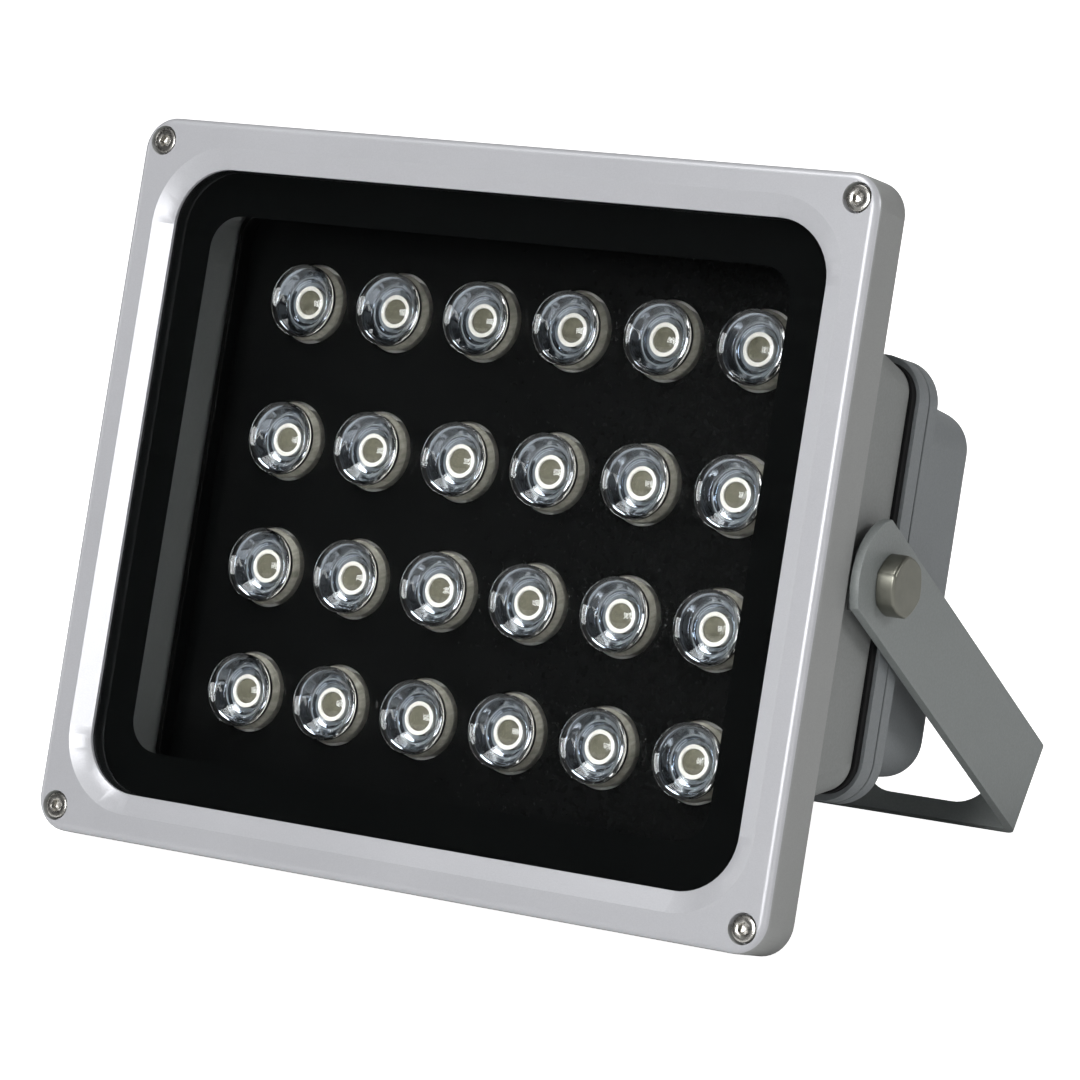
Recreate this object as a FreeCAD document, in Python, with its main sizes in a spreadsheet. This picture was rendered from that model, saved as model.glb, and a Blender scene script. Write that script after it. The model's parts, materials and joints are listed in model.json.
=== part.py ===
import FreeCAD, Part
import Sketcher
import math
import os
from types import SimpleNamespace

# LED flood light: a cast lamp head with a flat glass front, twenty-four lensed
# emitters behind a black cover plate, a driver compartment on the back, and a U
# bracket that tilts on two hexagon bolts.  Millimetres.
#
# The lamp is drawn square to its own face: X to the right, Y up the glass and Z out
# of the glass, with Z = 0 on the front of the frame.  Every "place" in the table is
# a depth, counted backwards from there.  At the end the lamp is leaned back until
# its frame and its bracket stand on one level floor.

SIZES = [
    ("frame_width", 225, "front frame, across"),
    ("frame_height", 194, "front frame, up"),
    ("frame_depth", 14.3, "front frame, front to back"),
    ("frame_corner", 9, "outer corner radius of the frame"),
    ("frame_edge_round", 2.4, "round on the front edge"),
    ("frame_skirt", 3, "wall of the frame's skirt"),
    ("bevel_margin", 7.1, "flat land outside the bevel"),
    ("bevel_width", 5.5, "bevel, across"),
    ("bevel_depth", 2.4, "bevel, front to back"),
    ("lip_thickness", 1, "lip in front of the glass"),
    ("opening_corner", 16, "corner radius of the opening"),
    ("glass_overlap", 4, "glass behind the lip"),
    ("glass_gap", 0.4, "play round the glass"),
    ("glass_thickness", 3.2, "toughened glass"),
    ("glass_chamfer", 0.5, "ground edges of the glass"),
    ("print_thickness", 0.12, "black print on the back of the glass"),
    ("print_border", 14.9, "print, from the glass edge to the side of the window"),
    ("print_border_top", 15.9, "print, from the glass edge to the top of the window"),
    ("print_window_corner", 9, "corner radius of the window"),
    ("seal_thickness", 2.7, "silicone seal behind the glass"),
    ("seal_width", 6.4, "seal, across its section"),
    ("flange_gap", 0.3, "play between skirt and housing flange"),
    ("flange_thickness", 4.2, "front flange of the housing"),
    ("screw_inset", 6.5, "frame screws from the frame's edge"),
    ("frame_screw_head", 7, "frame screw head, across"),
    ("frame_screw_head_height", 4, "frame screw head, high"),
    ("frame_screw_sink", 0.4, "head below the face"),
    ("frame_screw_length", 12, "frame screw, under the head"),
    ("frame_screw_shank", 4, "frame screw shank, across"),
    ("frame_screw_socket", 3, "hexagon socket, across flats"),
    ("frame_screw_socket_depth", 2.2, "hexagon socket, deep"),
    ("hole_play", 0.4, "clearance of a through hole, across"),
    ("thread_play", 0.1, "clearance of a threaded hole, across"),
    ("hole_end", 0.6, "threaded hole past the screw's end"),
    ("counterbore_play", 1, "clearance round a sunk head, across"),
    ("boss_wall", 1.2, "wall round a blind screw hole"),
    ("flange_rim_side", 13.7, "front flange outside the lamp cavity, at the sides"),
    ("flange_rim_top", 14.7, "front flange outside the lamp cavity, top and bottom"),
    ("cavity_corner", 8, "corner radius of the cavity"),
    ("plate_place", 30.6, "front of the black cover plate"),
    ("plate_thickness", 1.5, "cover plate"),
    ("plate_gap", 0.5, "play round the cover plate"),
    ("plate_ledge", 2.5, "ledge under the cover plate"),
    ("lens_hole", 22.4, "holes in the cover plate"),
    ("board_place", 36.4, "front of the LED board"),
    ("board_thickness", 1.6, "LED board"),
    ("board_gap", 3.5, "board inside the cavity wall"),
    ("floor_thickness", 4, "wall that carries the board"),
    ("housing_wall", 4, "housing wall at the floor"),
    ("housing_draft", 5, "housing wall, out towards the front"),
    ("housing_corner", 12, "outer corner radius of the housing"),
    ("cheek_wall", 14.3, "side cheeks outside the lamp cavity"),
    ("cheek_height_front", 120, "side cheeks at the frame"),
    ("cheek_height_rear", 108, "side cheeks at the rear flange"),
    ("cheek_corner", 8, "corner radius of the cheeks"),
    ("cheek_gap", 0.2, "cheeks behind the frame's skirt"),
    ("rear_flange_place", 38.5, "front of the rear flange"),
    ("rear_flange_rim", 2, "rear flange out of the cheeks"),
    ("rear_flange_height", 114, "rear flange, up"),
    ("rear_flange_corner", 11.5, "corner radius of the rear flange"),
    ("rear_flange_thickness", 5.4, "rear flange"),
    ("seal_land_side", 13.8, "rear flange outside its recess, at the sides"),
    ("seal_land_top", 13, "rear flange outside its recess, top and bottom"),
    ("cover_seal_thickness", 0.8, "seal under the rear cover"),
    ("cover_seal_inset", 0.8, "seal inside the flange edge"),
    ("cover_flange_thickness", 4.6, "flange of the rear cover"),
    ("cover_box_inset_side", 6.3, "box inside its flange, at the sides"),
    ("cover_box_inset_top", 4.2, "box inside its flange, top and bottom"),
    ("cover_box_corner_front", 17, "box corner radius at the flange"),
    ("cover_box_corner_rear", 10, "box corner radius at the back"),
    ("cover_box_depth", 39.2, "box, from its flange to the back"),
    ("cover_draft_side", 2, "each side leans in over the depth"),
    ("cover_draft_top", 4.8, "top and bottom lean in over the depth"),
    ("cover_box_round", 4, "round on the back edges"),
    ("cover_wall", 2.5, "wall of the rear cover"),
    ("cover_screw_inset", 7.5, "cover screws from the flange edge"),
    ("cover_screw_head", 7, "cover screw head, across"),
    ("cover_screw_head_height", 2.6, "cover screw head, high"),
    ("cover_screw_length", 14, "cover screw, under the head"),
    ("cover_screw_shank", 4, "cover screw shank, across"),
    ("cover_screw_socket", 2.5, "hexagon socket, across flats"),
    ("cover_screw_socket_depth", 1.6, "hexagon socket, deep"),
    ("fin_count", 13, "cooling fins in each bank"),
    ("fin_pitch", 13.4, "fin to fin"),
    ("fin_thickness", 2.4, "fin"),
    ("fin_depth", 18, "fin, out of the housing's back"),
    ("fin_gap", 1.5, "fins outside the rear flange"),
    ("fin_slope", 8, "fin tip cut back towards its end"),
    ("fin_heel", 5, "fin, high at its outer end"),
    ("column_pitch", 27.87, "lens columns, centre to centre"),
    ("row_top", 53.7, "top lens row above the middle"),
    ("row_upper", 16.2, "second row above the middle"),
    ("row_lower", -18.3, "third row"),
    ("row_bottom", -52.3, "bottom row"),
    ("lens_flange", 19.7, "lens rim, across"),
    ("lens_flange_thickness", 1.2, "lens rim"),
    ("lens_place", 24.9, "front of the lens rim"),
    ("lens_dish", 17, "dish in the lens front, across"),
    ("lens_dish_depth", 4.4, "dish, deep"),
    ("lens_eye", 8, "clear eye in the middle, across"),
    ("lens_foot", 9.6, "lens body at the emitter, across"),
    ("lens_foot_gap", 0.5, "lens foot above the holder floor"),
    ("lens_well", 6, "well for the emitter, across"),
    ("lens_well_depth", 3, "well for the emitter, deep"),
    ("lens_holder_gap", 0.2, "lens body inside the holder"),
    ("holder_width", 19.3, "lens holder, across"),
    ("holder_wall", 0.8, "lens holder wall"),
    ("holder_floor", 1, "lens holder floor"),
    ("emitter_width", 7.6, "emitter base, across"),
    ("emitter_base", 0.9, "emitter base, high"),
    ("emitter_dome", 4.6, "emitter dome, across"),
    ("emitter_gap", 0.8, "holder clear of the emitter, across"),
    ("board_screw_head", 5.5, "board screw head, across"),
    ("board_screw_head_height", 1.8, "board screw head, high"),
    ("board_screw_length", 4.6, "board screw, under the head"),
    ("board_screw_shank", 3, "board screw shank, across"),
    ("board_screw_socket", 2, "hexagon socket, across flats"),
    ("board_screw_socket_depth", 1, "hexagon socket, deep"),
    ("board_screw_inset", 6, "corner screws from the board's edge"),
    ("pivot_place", 30.8, "tilt axis behind the frame's face"),
    ("pivot_drop", 1.2, "tilt axis below the middle"),
    ("boss_height", 16, "pivot boss, up"),
    ("boss_length", 19.6, "pivot boss, front to back"),
    ("boss_proud", 2.2, "pivot boss out of the cheek"),
    ("boss_corner", 1, "corner radius of the pivot boss"),
    ("washer_thickness", 1, "washer between boss and arm"),
    ("washer_width", 15, "washer, across"),
    ("bolt_size", 8, "pivot bolt shank, across"),
    ("bolt_length", 14.5, "pivot bolt, under the head"),
    ("bolt_head_flats", 14.6, "pivot bolt head, across flats"),
    ("bolt_head_height", 5.2, "pivot bolt head, high"),
    ("bolt_head_face", 15, "flat end of the head, across"),
    ("bolt_head_slant", 0.9, "chamfer of the head, along the bolt"),
    ("strap_thickness", 2.5, "bracket strap"),
    ("strap_width", 26, "bracket strap, across"),
    ("strap_bend", 0.6, "inside radius of the bends"),
    ("strap_clearance", 12.5, "crossbar further out than the frame's edge"),
    ("strap_tip", 16.5, "round end of an arm, from the tilt axis"),
    ("strap_droop", 24.1, "arms below the lamp's own level, degrees"),
    ("neck_width", 5.6, "crossbar beside each arm"),
    ("neck_inset", 11.2, "neck, outer end from the outside of the arm"),
    ("neck_length", 37, "neck, along the crossbar"),
    ("neck_corner", 9, "corner radius of the neck"),
    ("mount_hole", 9, "middle mounting hole, across"),
    ("mount_side_hole", 6.5, "side mounting holes, across"),
    ("mount_side_pitch", 90, "side mounting holes, apart"),
    ("driver_height", 58, "LED driver, up"),
    ("driver_depth", 27, "LED driver, front to back"),
    ("driver_ear", 8, "mounting ear of the driver"),
    ("driver_ear_thickness", 2, "mounting ear, thick"),
    ("driver_round", 1.5, "corner radius of the driver"),
    ("driver_screw_spread", 40, "driver screws, apart"),
    ("driver_screw_length", 5, "driver screw, under the head"),
    ("lead_width", 2, "lead, across"),
    ("lead_play", 0.2, "clearance of a lead, across"),
    ("lead_spread", 2.6, "lead to lead"),
    ("lead_inset", 5.5, "wire hole from the side of the LED board"),
    ("lead_reach", 14, "wire hole from the end of the driver"),
    ("lead_rise", 11, "leads behind the floor"),
    ("lead_bend", 7, "bend of the leads"),
    ("lead_stub", 0.6, "leads in front of the board"),
    ("grommet_bore", 6, "grommet bore, across"),
    ("grommet_wall", 1.5, "grommet wall"),
    ("grommet_rim", 12, "grommet rim, across"),
    ("grommet_rim_thickness", 1.2, "grommet rim, thick"),
    ("terminal_length", 30, "terminal block, up"),
    ("terminal_width", 10, "terminal block, across"),
    ("terminal_depth", 13, "terminal block, front to back"),
    ("terminal_inset", 9, "terminal block from the side of the recess"),
    ("terminal_gap", 19, "terminal block from the driver"),
    ("terminal_pitch", 9, "pole to pole"),
    ("terminal_screw", 4, "terminal screw, across"),
    ("terminal_screw_length", 4, "terminal screw, long"),
    ("terminal_screw_sink", 1.5, "terminal screw below the top"),
    ("terminal_lead_place", 5, "leads behind the terminal block's foot"),
    ("gland_inset", 45.5, "cable gland from the left side of the cover's box"),
    ("gland_up", 18, "cable gland above the middle"),
    ("gland_thread", 15.2, "gland thread, across"),
    ("gland_flats", 19, "gland hexagons, across flats"),
    ("gland_hex_height", 5, "gland hexagon, high"),
    ("gland_bore", 9, "gland bore, across"),
    ("gland_neck", 13.4, "gland outer thread, across"),
    ("gland_neck_length", 8, "gland outer thread, long"),
    ("gland_inside", 7, "gland thread inside the cover"),
    ("gland_nut_height", 4, "gland nut, high"),
    ("gland_cap_gap", 0.5, "cap short of the hexagon"),
    ("gland_cap_end", 3, "end wall of the cap"),
    ("bush_width", 10.6, "rubber bush, across"),
    ("bush_length", 9, "rubber bush, long"),
    ("bush_sink", 6, "rubber bush inside the gland"),
    ("cable_bore", 7, "bore of the bush, across"),
]


class Size:
    """A number together with the expression of table names that gives it."""

    def __init__(self, value, text):
        self.value = value
        self.text = text

    def __add__(self, other):
        other = sized(other)
        return Size(self.value + other.value, "(%s + %s)" % (self.text, other.text))

    def __sub__(self, other):
        other = sized(other)
        return Size(self.value - other.value, "(%s - %s)" % (self.text, other.text))

    def __mul__(self, factor):
        factor = sized(factor)
        return Size(self.value * factor.value, "(%s * %s)" % (self.text, factor.text))

    def __truediv__(self, factor):
        factor = sized(factor)
        return Size(self.value / factor.value, "(%s / %s)" % (self.text, factor.text))

    def __neg__(self):
        return self * -1


def sized(number):
    return number if isinstance(number, Size) else Size(number, "(%r)" % number)


doc = FreeCAD.newDocument("flood_light")
sheet = doc.addObject("Spreadsheet::Sheet", "sizes")
for row, (alias, number, note) in enumerate(SIZES, 1):
    sheet.set("A%d" % row, note)
    sheet.set("B%d" % row, str(number))
    sheet.setAlias("B%d" % row, alias)
doc.recompute()
S = SimpleNamespace(**{alias: Size(sheet.get(alias), "sizes." + alias) for alias, number, note in SIZES})

# Depths of the stack behind the front face, each from the piece before it.
GLASS_PLACE = S.bevel_depth + S.lip_thickness
PRINT_PLACE = GLASS_PLACE + S.glass_thickness
SEAL_PLACE = PRINT_PLACE + S.print_thickness
FLANGE_PLACE = SEAL_PLACE + S.seal_thickness
LEDGE_PLACE = S.plate_place + S.plate_thickness
FLOOR_FRONT = S.board_place + S.board_thickness
FLOOR_REAR = FLOOR_FRONT + S.floor_thickness
REAR_FLANGE_END = S.rear_flange_place + S.rear_flange_thickness
COVER_PLACE = REAR_FLANGE_END + S.cover_seal_thickness
COVER_FLANGE_END = COVER_PLACE + S.cover_flange_thickness
COVER_END = COVER_FLANGE_END + S.cover_box_depth
SCREW_SEAT = S.frame_screw_sink + S.frame_screw_head_height
LENS_SEAT = S.lens_place + S.lens_flange_thickness

# Outlines that several pieces share.
OPENING_WIDTH = S.frame_width - (S.bevel_margin + S.bevel_width) * 2
OPENING_HEIGHT = S.frame_height - (S.bevel_margin + S.bevel_width) * 2
GLASS_WIDTH = OPENING_WIDTH + S.glass_overlap * 2
GLASS_HEIGHT = OPENING_HEIGHT + S.glass_overlap * 2
GLASS_CORNER = S.opening_corner + S.glass_overlap
FLANGE_WIDTH = S.frame_width - (S.frame_skirt + S.flange_gap) * 2
FLANGE_HEIGHT = S.frame_height - (S.frame_skirt + S.flange_gap) * 2
CAVITY_WIDTH = FLANGE_WIDTH - S.flange_rim_side * 2
CAVITY_HEIGHT = FLANGE_HEIGHT - S.flange_rim_top * 2
ROOM_WIDTH = CAVITY_WIDTH - S.plate_ledge * 2
ROOM_HEIGHT = CAVITY_HEIGHT - S.plate_ledge * 2
ROOM_CORNER = S.cavity_corner - S.plate_ledge
CHEEK_WIDTH = CAVITY_WIDTH + S.cheek_wall * 2
REAR_FLANGE_WIDTH = CHEEK_WIDTH + S.rear_flange_rim * 2
RECESS_WIDTH = REAR_FLANGE_WIDTH - S.seal_land_side * 2
RECESS_HEIGHT = S.rear_flange_height - S.seal_land_top * 2
BOX_WIDTH = REAR_FLANGE_WIDTH - S.cover_box_inset_side * 2
BOX_HEIGHT = S.rear_flange_height - S.cover_box_inset_top * 2
SCREW_BOSS_WIDTH = S.frame_screw_shank + S.boss_wall * 2
BOSS_SIDE = CHEEK_WIDTH / 2 + S.boss_proud
STRAP_REACH = S.frame_height / 2 + S.strap_clearance
ARM_INSIDE = BOSS_SIDE + S.washer_thickness
ARM_OUTSIDE = ARM_INSIDE + S.strap_thickness

# Where the repeated pieces sit, as (across, up).
COLUMNS = [S.column_pitch * step for step in (-2.5, -1.5, -0.5, 0.5, 1.5, 2.5)]
ROWS = [S.row_top, S.row_upper, S.row_lower, S.row_bottom]
LENS_PLACES = [(across, up) for up in ROWS for across in COLUMNS]


def corners(across, up):
    return [(across * side, up * end) for end in (1, -1) for side in (1, -1)]


FRAME_SCREW_PLACES = corners(S.frame_width / 2 - S.screw_inset, S.frame_height / 2 - S.screw_inset)
COVER_SCREW_PLACES = corners(
    REAR_FLANGE_WIDTH / 2 - S.cover_screw_inset, S.rear_flange_height / 2 - S.cover_screw_inset
)
BOARD_WIDTH = ROOM_WIDTH - S.board_gap * 2
BOARD_HEIGHT = ROOM_HEIGHT - S.board_gap * 2
BOARD_SCREW_PLACES = corners(
    BOARD_WIDTH / 2 - S.board_screw_inset, BOARD_HEIGHT / 2 - S.board_screw_inset
) + [
    (S.column_pitch * step, (upper + lower) / 2)
    for upper, lower in ((S.row_top, S.row_upper), (S.row_lower, S.row_bottom))
    for step in (-2, 0, 2)
]

# Along the driver compartment: terminal block, leads, driver, leads, wire hole.
LEAD_ACROSS = BOARD_WIDTH / 2 - S.lead_inset
TERMINAL_ACROSS = S.terminal_inset + S.terminal_width / 2 - RECESS_WIDTH / 2
DRIVER_LEFT = TERMINAL_ACROSS + S.terminal_width / 2 + S.terminal_gap
DRIVER_RIGHT = LEAD_ACROSS - S.lead_reach
DRIVER_LENGTH = DRIVER_RIGHT - DRIVER_LEFT
DRIVER_MIDDLE = (DRIVER_RIGHT + DRIVER_LEFT) / 2
DRIVER_SCREW_PLACES = [
    (DRIVER_MIDDLE + (DRIVER_LENGTH + S.driver_ear) / 2 * side, S.driver_screw_spread / 2 * end)
    for side in (1, -1)
    for end in (1, -1)
]
LEAD_PLACES = [(LEAD_ACROSS, S.lead_spread / 2 * end) for end in (1, -1)]
GLAND_ACROSS = S.gland_inset - BOX_WIDTH / 2
PIVOT = FreeCAD.Vector(0, -S.pivot_drop.value, -S.pivot_place.value)


def new_body(label):
    body = doc.addObject("PartDesign::Body", label)
    body.Label = label
    return body


def new_sketch(body, name, place, role="XY_Plane"):
    """A sketch on one of the body's own planes, `place` behind it."""
    sketch = body.newObject("Sketcher::SketchObject", name)
    plane = next(item for item in body.Origin.OriginFeatures if item.Role == role)
    sketch.AttachmentSupport = [(plane, "")]
    sketch.MapMode = "FlatFace"
    sketch.setExpression("AttachmentOffset.Base.z", sized(place * -1).text)
    return sketch


def limit(sketch, kind, *parts):
    """A dimension of the sketch that follows the table; the Size comes last."""
    size = parts[-1]
    number = sketch.addConstraint(Sketcher.Constraint(kind, *parts[:-1], size.value))
    sketch.setExpression("Constraints[%d]" % number, size.text)


def draw_outline(sketch, points):
    """A closed outline of straight runs and arcs.  A point is (across, up), or
    (across, up, radius) where an arc leads to the next point: it turns left, or
    right if the radius is negative."""
    ends = []
    for here, there in zip(points, points[1:] + points[:1]):
        start = FreeCAD.Vector(here[0].value, here[1].value, 0)
        end = FreeCAD.Vector(there[0].value, there[1].value, 0)
        if len(here) == 2:
            index = sketch.addGeometry(Part.LineSegment(start, end), False)
            ends.append((index, 1, 2))
            continue
        radius = abs(here[2].value)
        left = here[2].value > 0
        chord = end - start
        side = FreeCAD.Vector(-chord.y, chord.x, 0).normalize() * (1 if left else -1)
        centre = (start + end) / 2 + side * math.sqrt(max(radius**2 - (chord.Length / 2) ** 2, 0))
        first, last = (start, end) if left else (end, start)
        turns = [math.atan2(point.y - centre.y, point.x - centre.x) for point in (first, last)]
        circle = Part.Circle(centre, FreeCAD.Vector(0, 0, 1), radius)
        index = sketch.addGeometry(Part.ArcOfCircle(circle, turns[0], turns[1]), False)
        ends.append((index, 1, 2) if left else (index, 2, 1))
        limit(sketch, "Radius", index, here[2] if left else -here[2])
    for (index, start, end), (following, begin, unused) in zip(ends, ends[1:] + ends[:1]):
        sketch.addConstraint(Sketcher.Constraint("Coincident", index, end, following, begin))
    for (index, start, end), point in zip(ends, points):
        limit(sketch, "DistanceX", -1, 1, index, start, point[0])
        limit(sketch, "DistanceY", -1, 1, index, start, point[1])


def rounded(width, height, corner, across=sized(0), up=sized(0)):
    """The points of a rectangle with round corners."""
    left = across - width / 2
    right = across + width / 2
    low = up - height / 2
    high = up + height / 2
    return [
        (left + corner, low),
        (right - corner, low, corner),
        (right, low + corner),
        (right, high - corner, corner),
        (right - corner, high),
        (left + corner, high, corner),
        (left, high - corner),
        (left, low + corner, corner),
    ]


def hexagon(flats):
    """The points of a hexagon with two corners on the level axis."""
    corner = flats / math.sqrt(3)
    half = corner / 2
    return [
        (corner, sized(0)),
        (half, flats / 2),
        (-half, flats / 2),
        (-corner, sized(0)),
        (-half, -flats / 2),
        (half, -flats / 2),
    ]


def draw_circles(sketch, places, width):
    for across, up in places:
        centre = FreeCAD.Vector(across.value, up.value, 0)
        circle = Part.Circle(centre, FreeCAD.Vector(0, 0, 1), width.value / 2)
        index = sketch.addGeometry(circle, False)
        limit(sketch, "Diameter", index, width)
        limit(sketch, "DistanceX", -1, 1, index, 3, across)
        limit(sketch, "DistanceY", -1, 1, index, 3, up)


def feature(body, kind, name, sketch, reverse=False):
    result = body.newObject("PartDesign::" + kind, name)
    result.Profile = sketch
    if reverse:
        result.Reversed = True
    sketch.Visibility = False
    return result


def slab(body, name, points, place, thickness):
    """Adds a plate with this outline, from `place` backwards."""
    sketch = new_sketch(body, name + "_outline", place)
    draw_outline(sketch, points)
    pad = feature(body, "Pad", name, sketch, reverse=True)
    pad.setExpression("Length", thickness.text)
    return pad


def pegs(body, name, places, width, place, length):
    """Adds round pegs, from `place` backwards."""
    sketch = new_sketch(body, name + "_circles", place)
    draw_circles(sketch, places, width)
    pad = feature(body, "Pad", name, sketch, reverse=True)
    pad.setExpression("Length", length.text)
    return pad


def recess(body, name, points, place, depth):
    """Cuts a pocket with this outline, from `place` backwards."""
    sketch = new_sketch(body, name + "_outline", place)
    draw_outline(sketch, points)
    pocket = feature(body, "Pocket", name, sketch)
    pocket.setExpression("Length", depth.text)
    return pocket


def holes(body, name, places, width, place, depth):
    """Cuts round holes, from `place` backwards."""
    sketch = new_sketch(body, name + "_circles", place)
    draw_circles(sketch, places, width)
    pocket = feature(body, "Pocket", name, sketch)
    pocket.setExpression("Length", depth.text)
    return pocket


def loft(body, kind, name, first, first_place, second, second_place):
    """Joins two outlines at two depths, adding or cutting."""
    front = new_sketch(body, name + "_front", first_place)
    draw_outline(front, first)
    rear = new_sketch(body, name + "_rear", second_place)
    draw_outline(rear, second)
    result = feature(body, kind, name, front)
    result.Sections = [rear]
    result.Ruled = True
    rear.Visibility = False
    return result


def turned(body, name, points, kind="Revolution"):
    """Turns a half section, given as (radius, height), about the body's Z axis."""
    sketch = new_sketch(body, name + "_section", sized(0), "XZ_Plane")
    draw_outline(sketch, points)
    result = feature(body, kind, name, sketch)
    result.ReferenceAxis = (sketch, ["V_Axis"])
    result.Angle = 360
    return result


def level_edges(shape, place):
    """Names of the edges that lie flat at this depth."""
    names = []
    for number, edge in enumerate(shape.Edges, 1):
        box = edge.BoundBox
        if abs(box.ZMin + place.value) < 1e-4 and abs(box.ZMax + place.value) < 1e-4:
            names.append("Edge%d" % number)
    return names


def soften(body, kind, name, base, places, size):
    """Rounds or chamfers the edges of the base that lie at these depths."""
    doc.recompute()
    result = body.newObject("PartDesign::" + kind, name)
    names = [edge for place in places for edge in level_edges(base.Shape, place)]
    result.Base = (base, names)
    result.setExpression("Radius" if kind == "Fillet" else "Size", size.text)
    return result


def group(label, master, placements):
    """One node of separate, identical solids: a copy of the master at each placement."""
    doc.recompute()
    copies = [master.Shape.copy() for placement in placements]
    for copy, placement in zip(copies, placements):
        copy.Placement = placement
    node = doc.addObject("Part::Feature", label)
    node.Label = label
    node.Shape = Part.makeCompound(copies)
    return node


def facing(place, spots, turn=None):
    """Placements at one depth; a turn points the copies another way."""
    turn = turn or FreeCAD.Rotation()
    return [
        FreeCAD.Placement(FreeCAD.Vector(across.value, up.value, -place.value), turn)
        for across, up in spots
    ]


TO_THE_BACK = FreeCAD.Rotation(FreeCAD.Vector(1, 0, 0), 180)


def front_frame():
    body = new_body("front_frame")
    block = slab(
        body, "frame_block", rounded(S.frame_width, S.frame_height, S.frame_corner), sized(0), S.frame_depth
    )
    soften(body, "Fillet", "frame_front_round", block, [sized(0)], S.frame_edge_round)
    bevel_corner = S.opening_corner + S.bevel_width
    loft(
        body,
        "SubtractiveLoft",
        "frame_bevel",
        rounded(OPENING_WIDTH + S.bevel_width * 2, OPENING_HEIGHT + S.bevel_width * 2, bevel_corner),
        sized(0),
        rounded(OPENING_WIDTH, OPENING_HEIGHT, S.opening_corner),
        S.bevel_depth,
    )
    recess(
        body,
        "frame_opening",
        rounded(OPENING_WIDTH, OPENING_HEIGHT, S.opening_corner),
        sized(0),
        S.frame_depth,
    )
    recess(
        body,
        "frame_glass_seat",
        rounded(GLASS_WIDTH + S.glass_gap * 2, GLASS_HEIGHT + S.glass_gap * 2, GLASS_CORNER + S.glass_gap),
        GLASS_PLACE,
        S.frame_depth - GLASS_PLACE,
    )
    recess(
        body,
        "frame_flange_seat",
        rounded(
            S.frame_width - S.frame_skirt * 2,
            S.frame_height - S.frame_skirt * 2,
            S.frame_corner - S.frame_skirt,
        ),
        FLANGE_PLACE,
        S.frame_depth - FLANGE_PLACE,
    )
    holes(
        body,
        "frame_counterbores",
        FRAME_SCREW_PLACES,
        S.frame_screw_head + S.counterbore_play,
        sized(0),
        SCREW_SEAT,
    )
    holes(
        body,
        "frame_screw_holes",
        FRAME_SCREW_PLACES,
        S.frame_screw_shank + S.hole_play,
        sized(0),
        S.frame_depth,
    )
    holes(
        body,
        "frame_boss_seats",
        FRAME_SCREW_PLACES,
        SCREW_BOSS_WIDTH + S.flange_gap * 2,
        FLANGE_PLACE,
        S.frame_depth - FLANGE_PLACE,
    )
    return body


def front_glass():
    body = new_body("front_glass")
    sheet_of_glass = slab(
        body, "glass_sheet", rounded(GLASS_WIDTH, GLASS_HEIGHT, GLASS_CORNER), GLASS_PLACE, S.glass_thickness
    )
    soften(body, "Chamfer", "glass_edges", sheet_of_glass, [GLASS_PLACE, PRINT_PLACE], S.glass_chamfer)
    return body


def glass_border_print():
    body = new_body("glass_border_print")
    slab(
        body,
        "print_field",
        rounded(
            GLASS_WIDTH - S.glass_chamfer * 2,
            GLASS_HEIGHT - S.glass_chamfer * 2,
            GLASS_CORNER - S.glass_chamfer,
        ),
        PRINT_PLACE,
        S.print_thickness,
    )
    recess(
        body,
        "print_window",
        rounded(
            GLASS_WIDTH - S.print_border * 2, GLASS_HEIGHT - S.print_border_top * 2, S.print_window_corner
        ),
        PRINT_PLACE,
        S.print_thickness,
    )
    return body


def glass_seal():
    body = new_body("glass_seal")
    slab(body, "seal_band", rounded(GLASS_WIDTH, GLASS_HEIGHT, GLASS_CORNER), SEAL_PLACE, S.seal_thickness)
    recess(
        body,
        "seal_opening",
        rounded(
            GLASS_WIDTH - S.seal_width * 2, GLASS_HEIGHT - S.seal_width * 2, GLASS_CORNER - S.seal_width
        ),
        SEAL_PLACE,
        S.seal_thickness,
    )
    return body


def cooling_fins(body):
    """Upright fins above and below the driver compartment, on the back of the housing."""
    sketch = new_sketch(body, "fin_profile", (S.fin_count - 1) / 2 * S.fin_pitch, "YZ_Plane")
    inner = S.rear_flange_height / 2 + S.fin_gap
    outer = ROOM_HEIGHT / 2 + S.housing_wall
    root = -FLOOR_FRONT
    heel = -(FLOOR_REAR + S.fin_heel)
    tip = -(FLOOR_REAR + S.fin_depth)
    upper = [(inner, root), (outer, root), (outer, heel), (outer - S.fin_slope, tip), (inner, tip)]
    draw_outline(sketch, upper)
    draw_outline(sketch, [(-across, up) for across, up in upper])
    fin = feature(body, "Pad", "fin", sketch)
    fin.Midplane = True
    fin.setExpression("Length", S.fin_thickness.text)
    row = body.newObject("PartDesign::LinearPattern", "fin_row")
    row.Originals = [fin]
    row.Direction = (sketch, ["N_Axis"])
    row.setExpression("Length", ((S.fin_count - 1) * S.fin_pitch).text)
    row.setExpression("Occurrences", S.fin_count.text)
    body.Tip = row
    doc.recompute()


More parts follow.
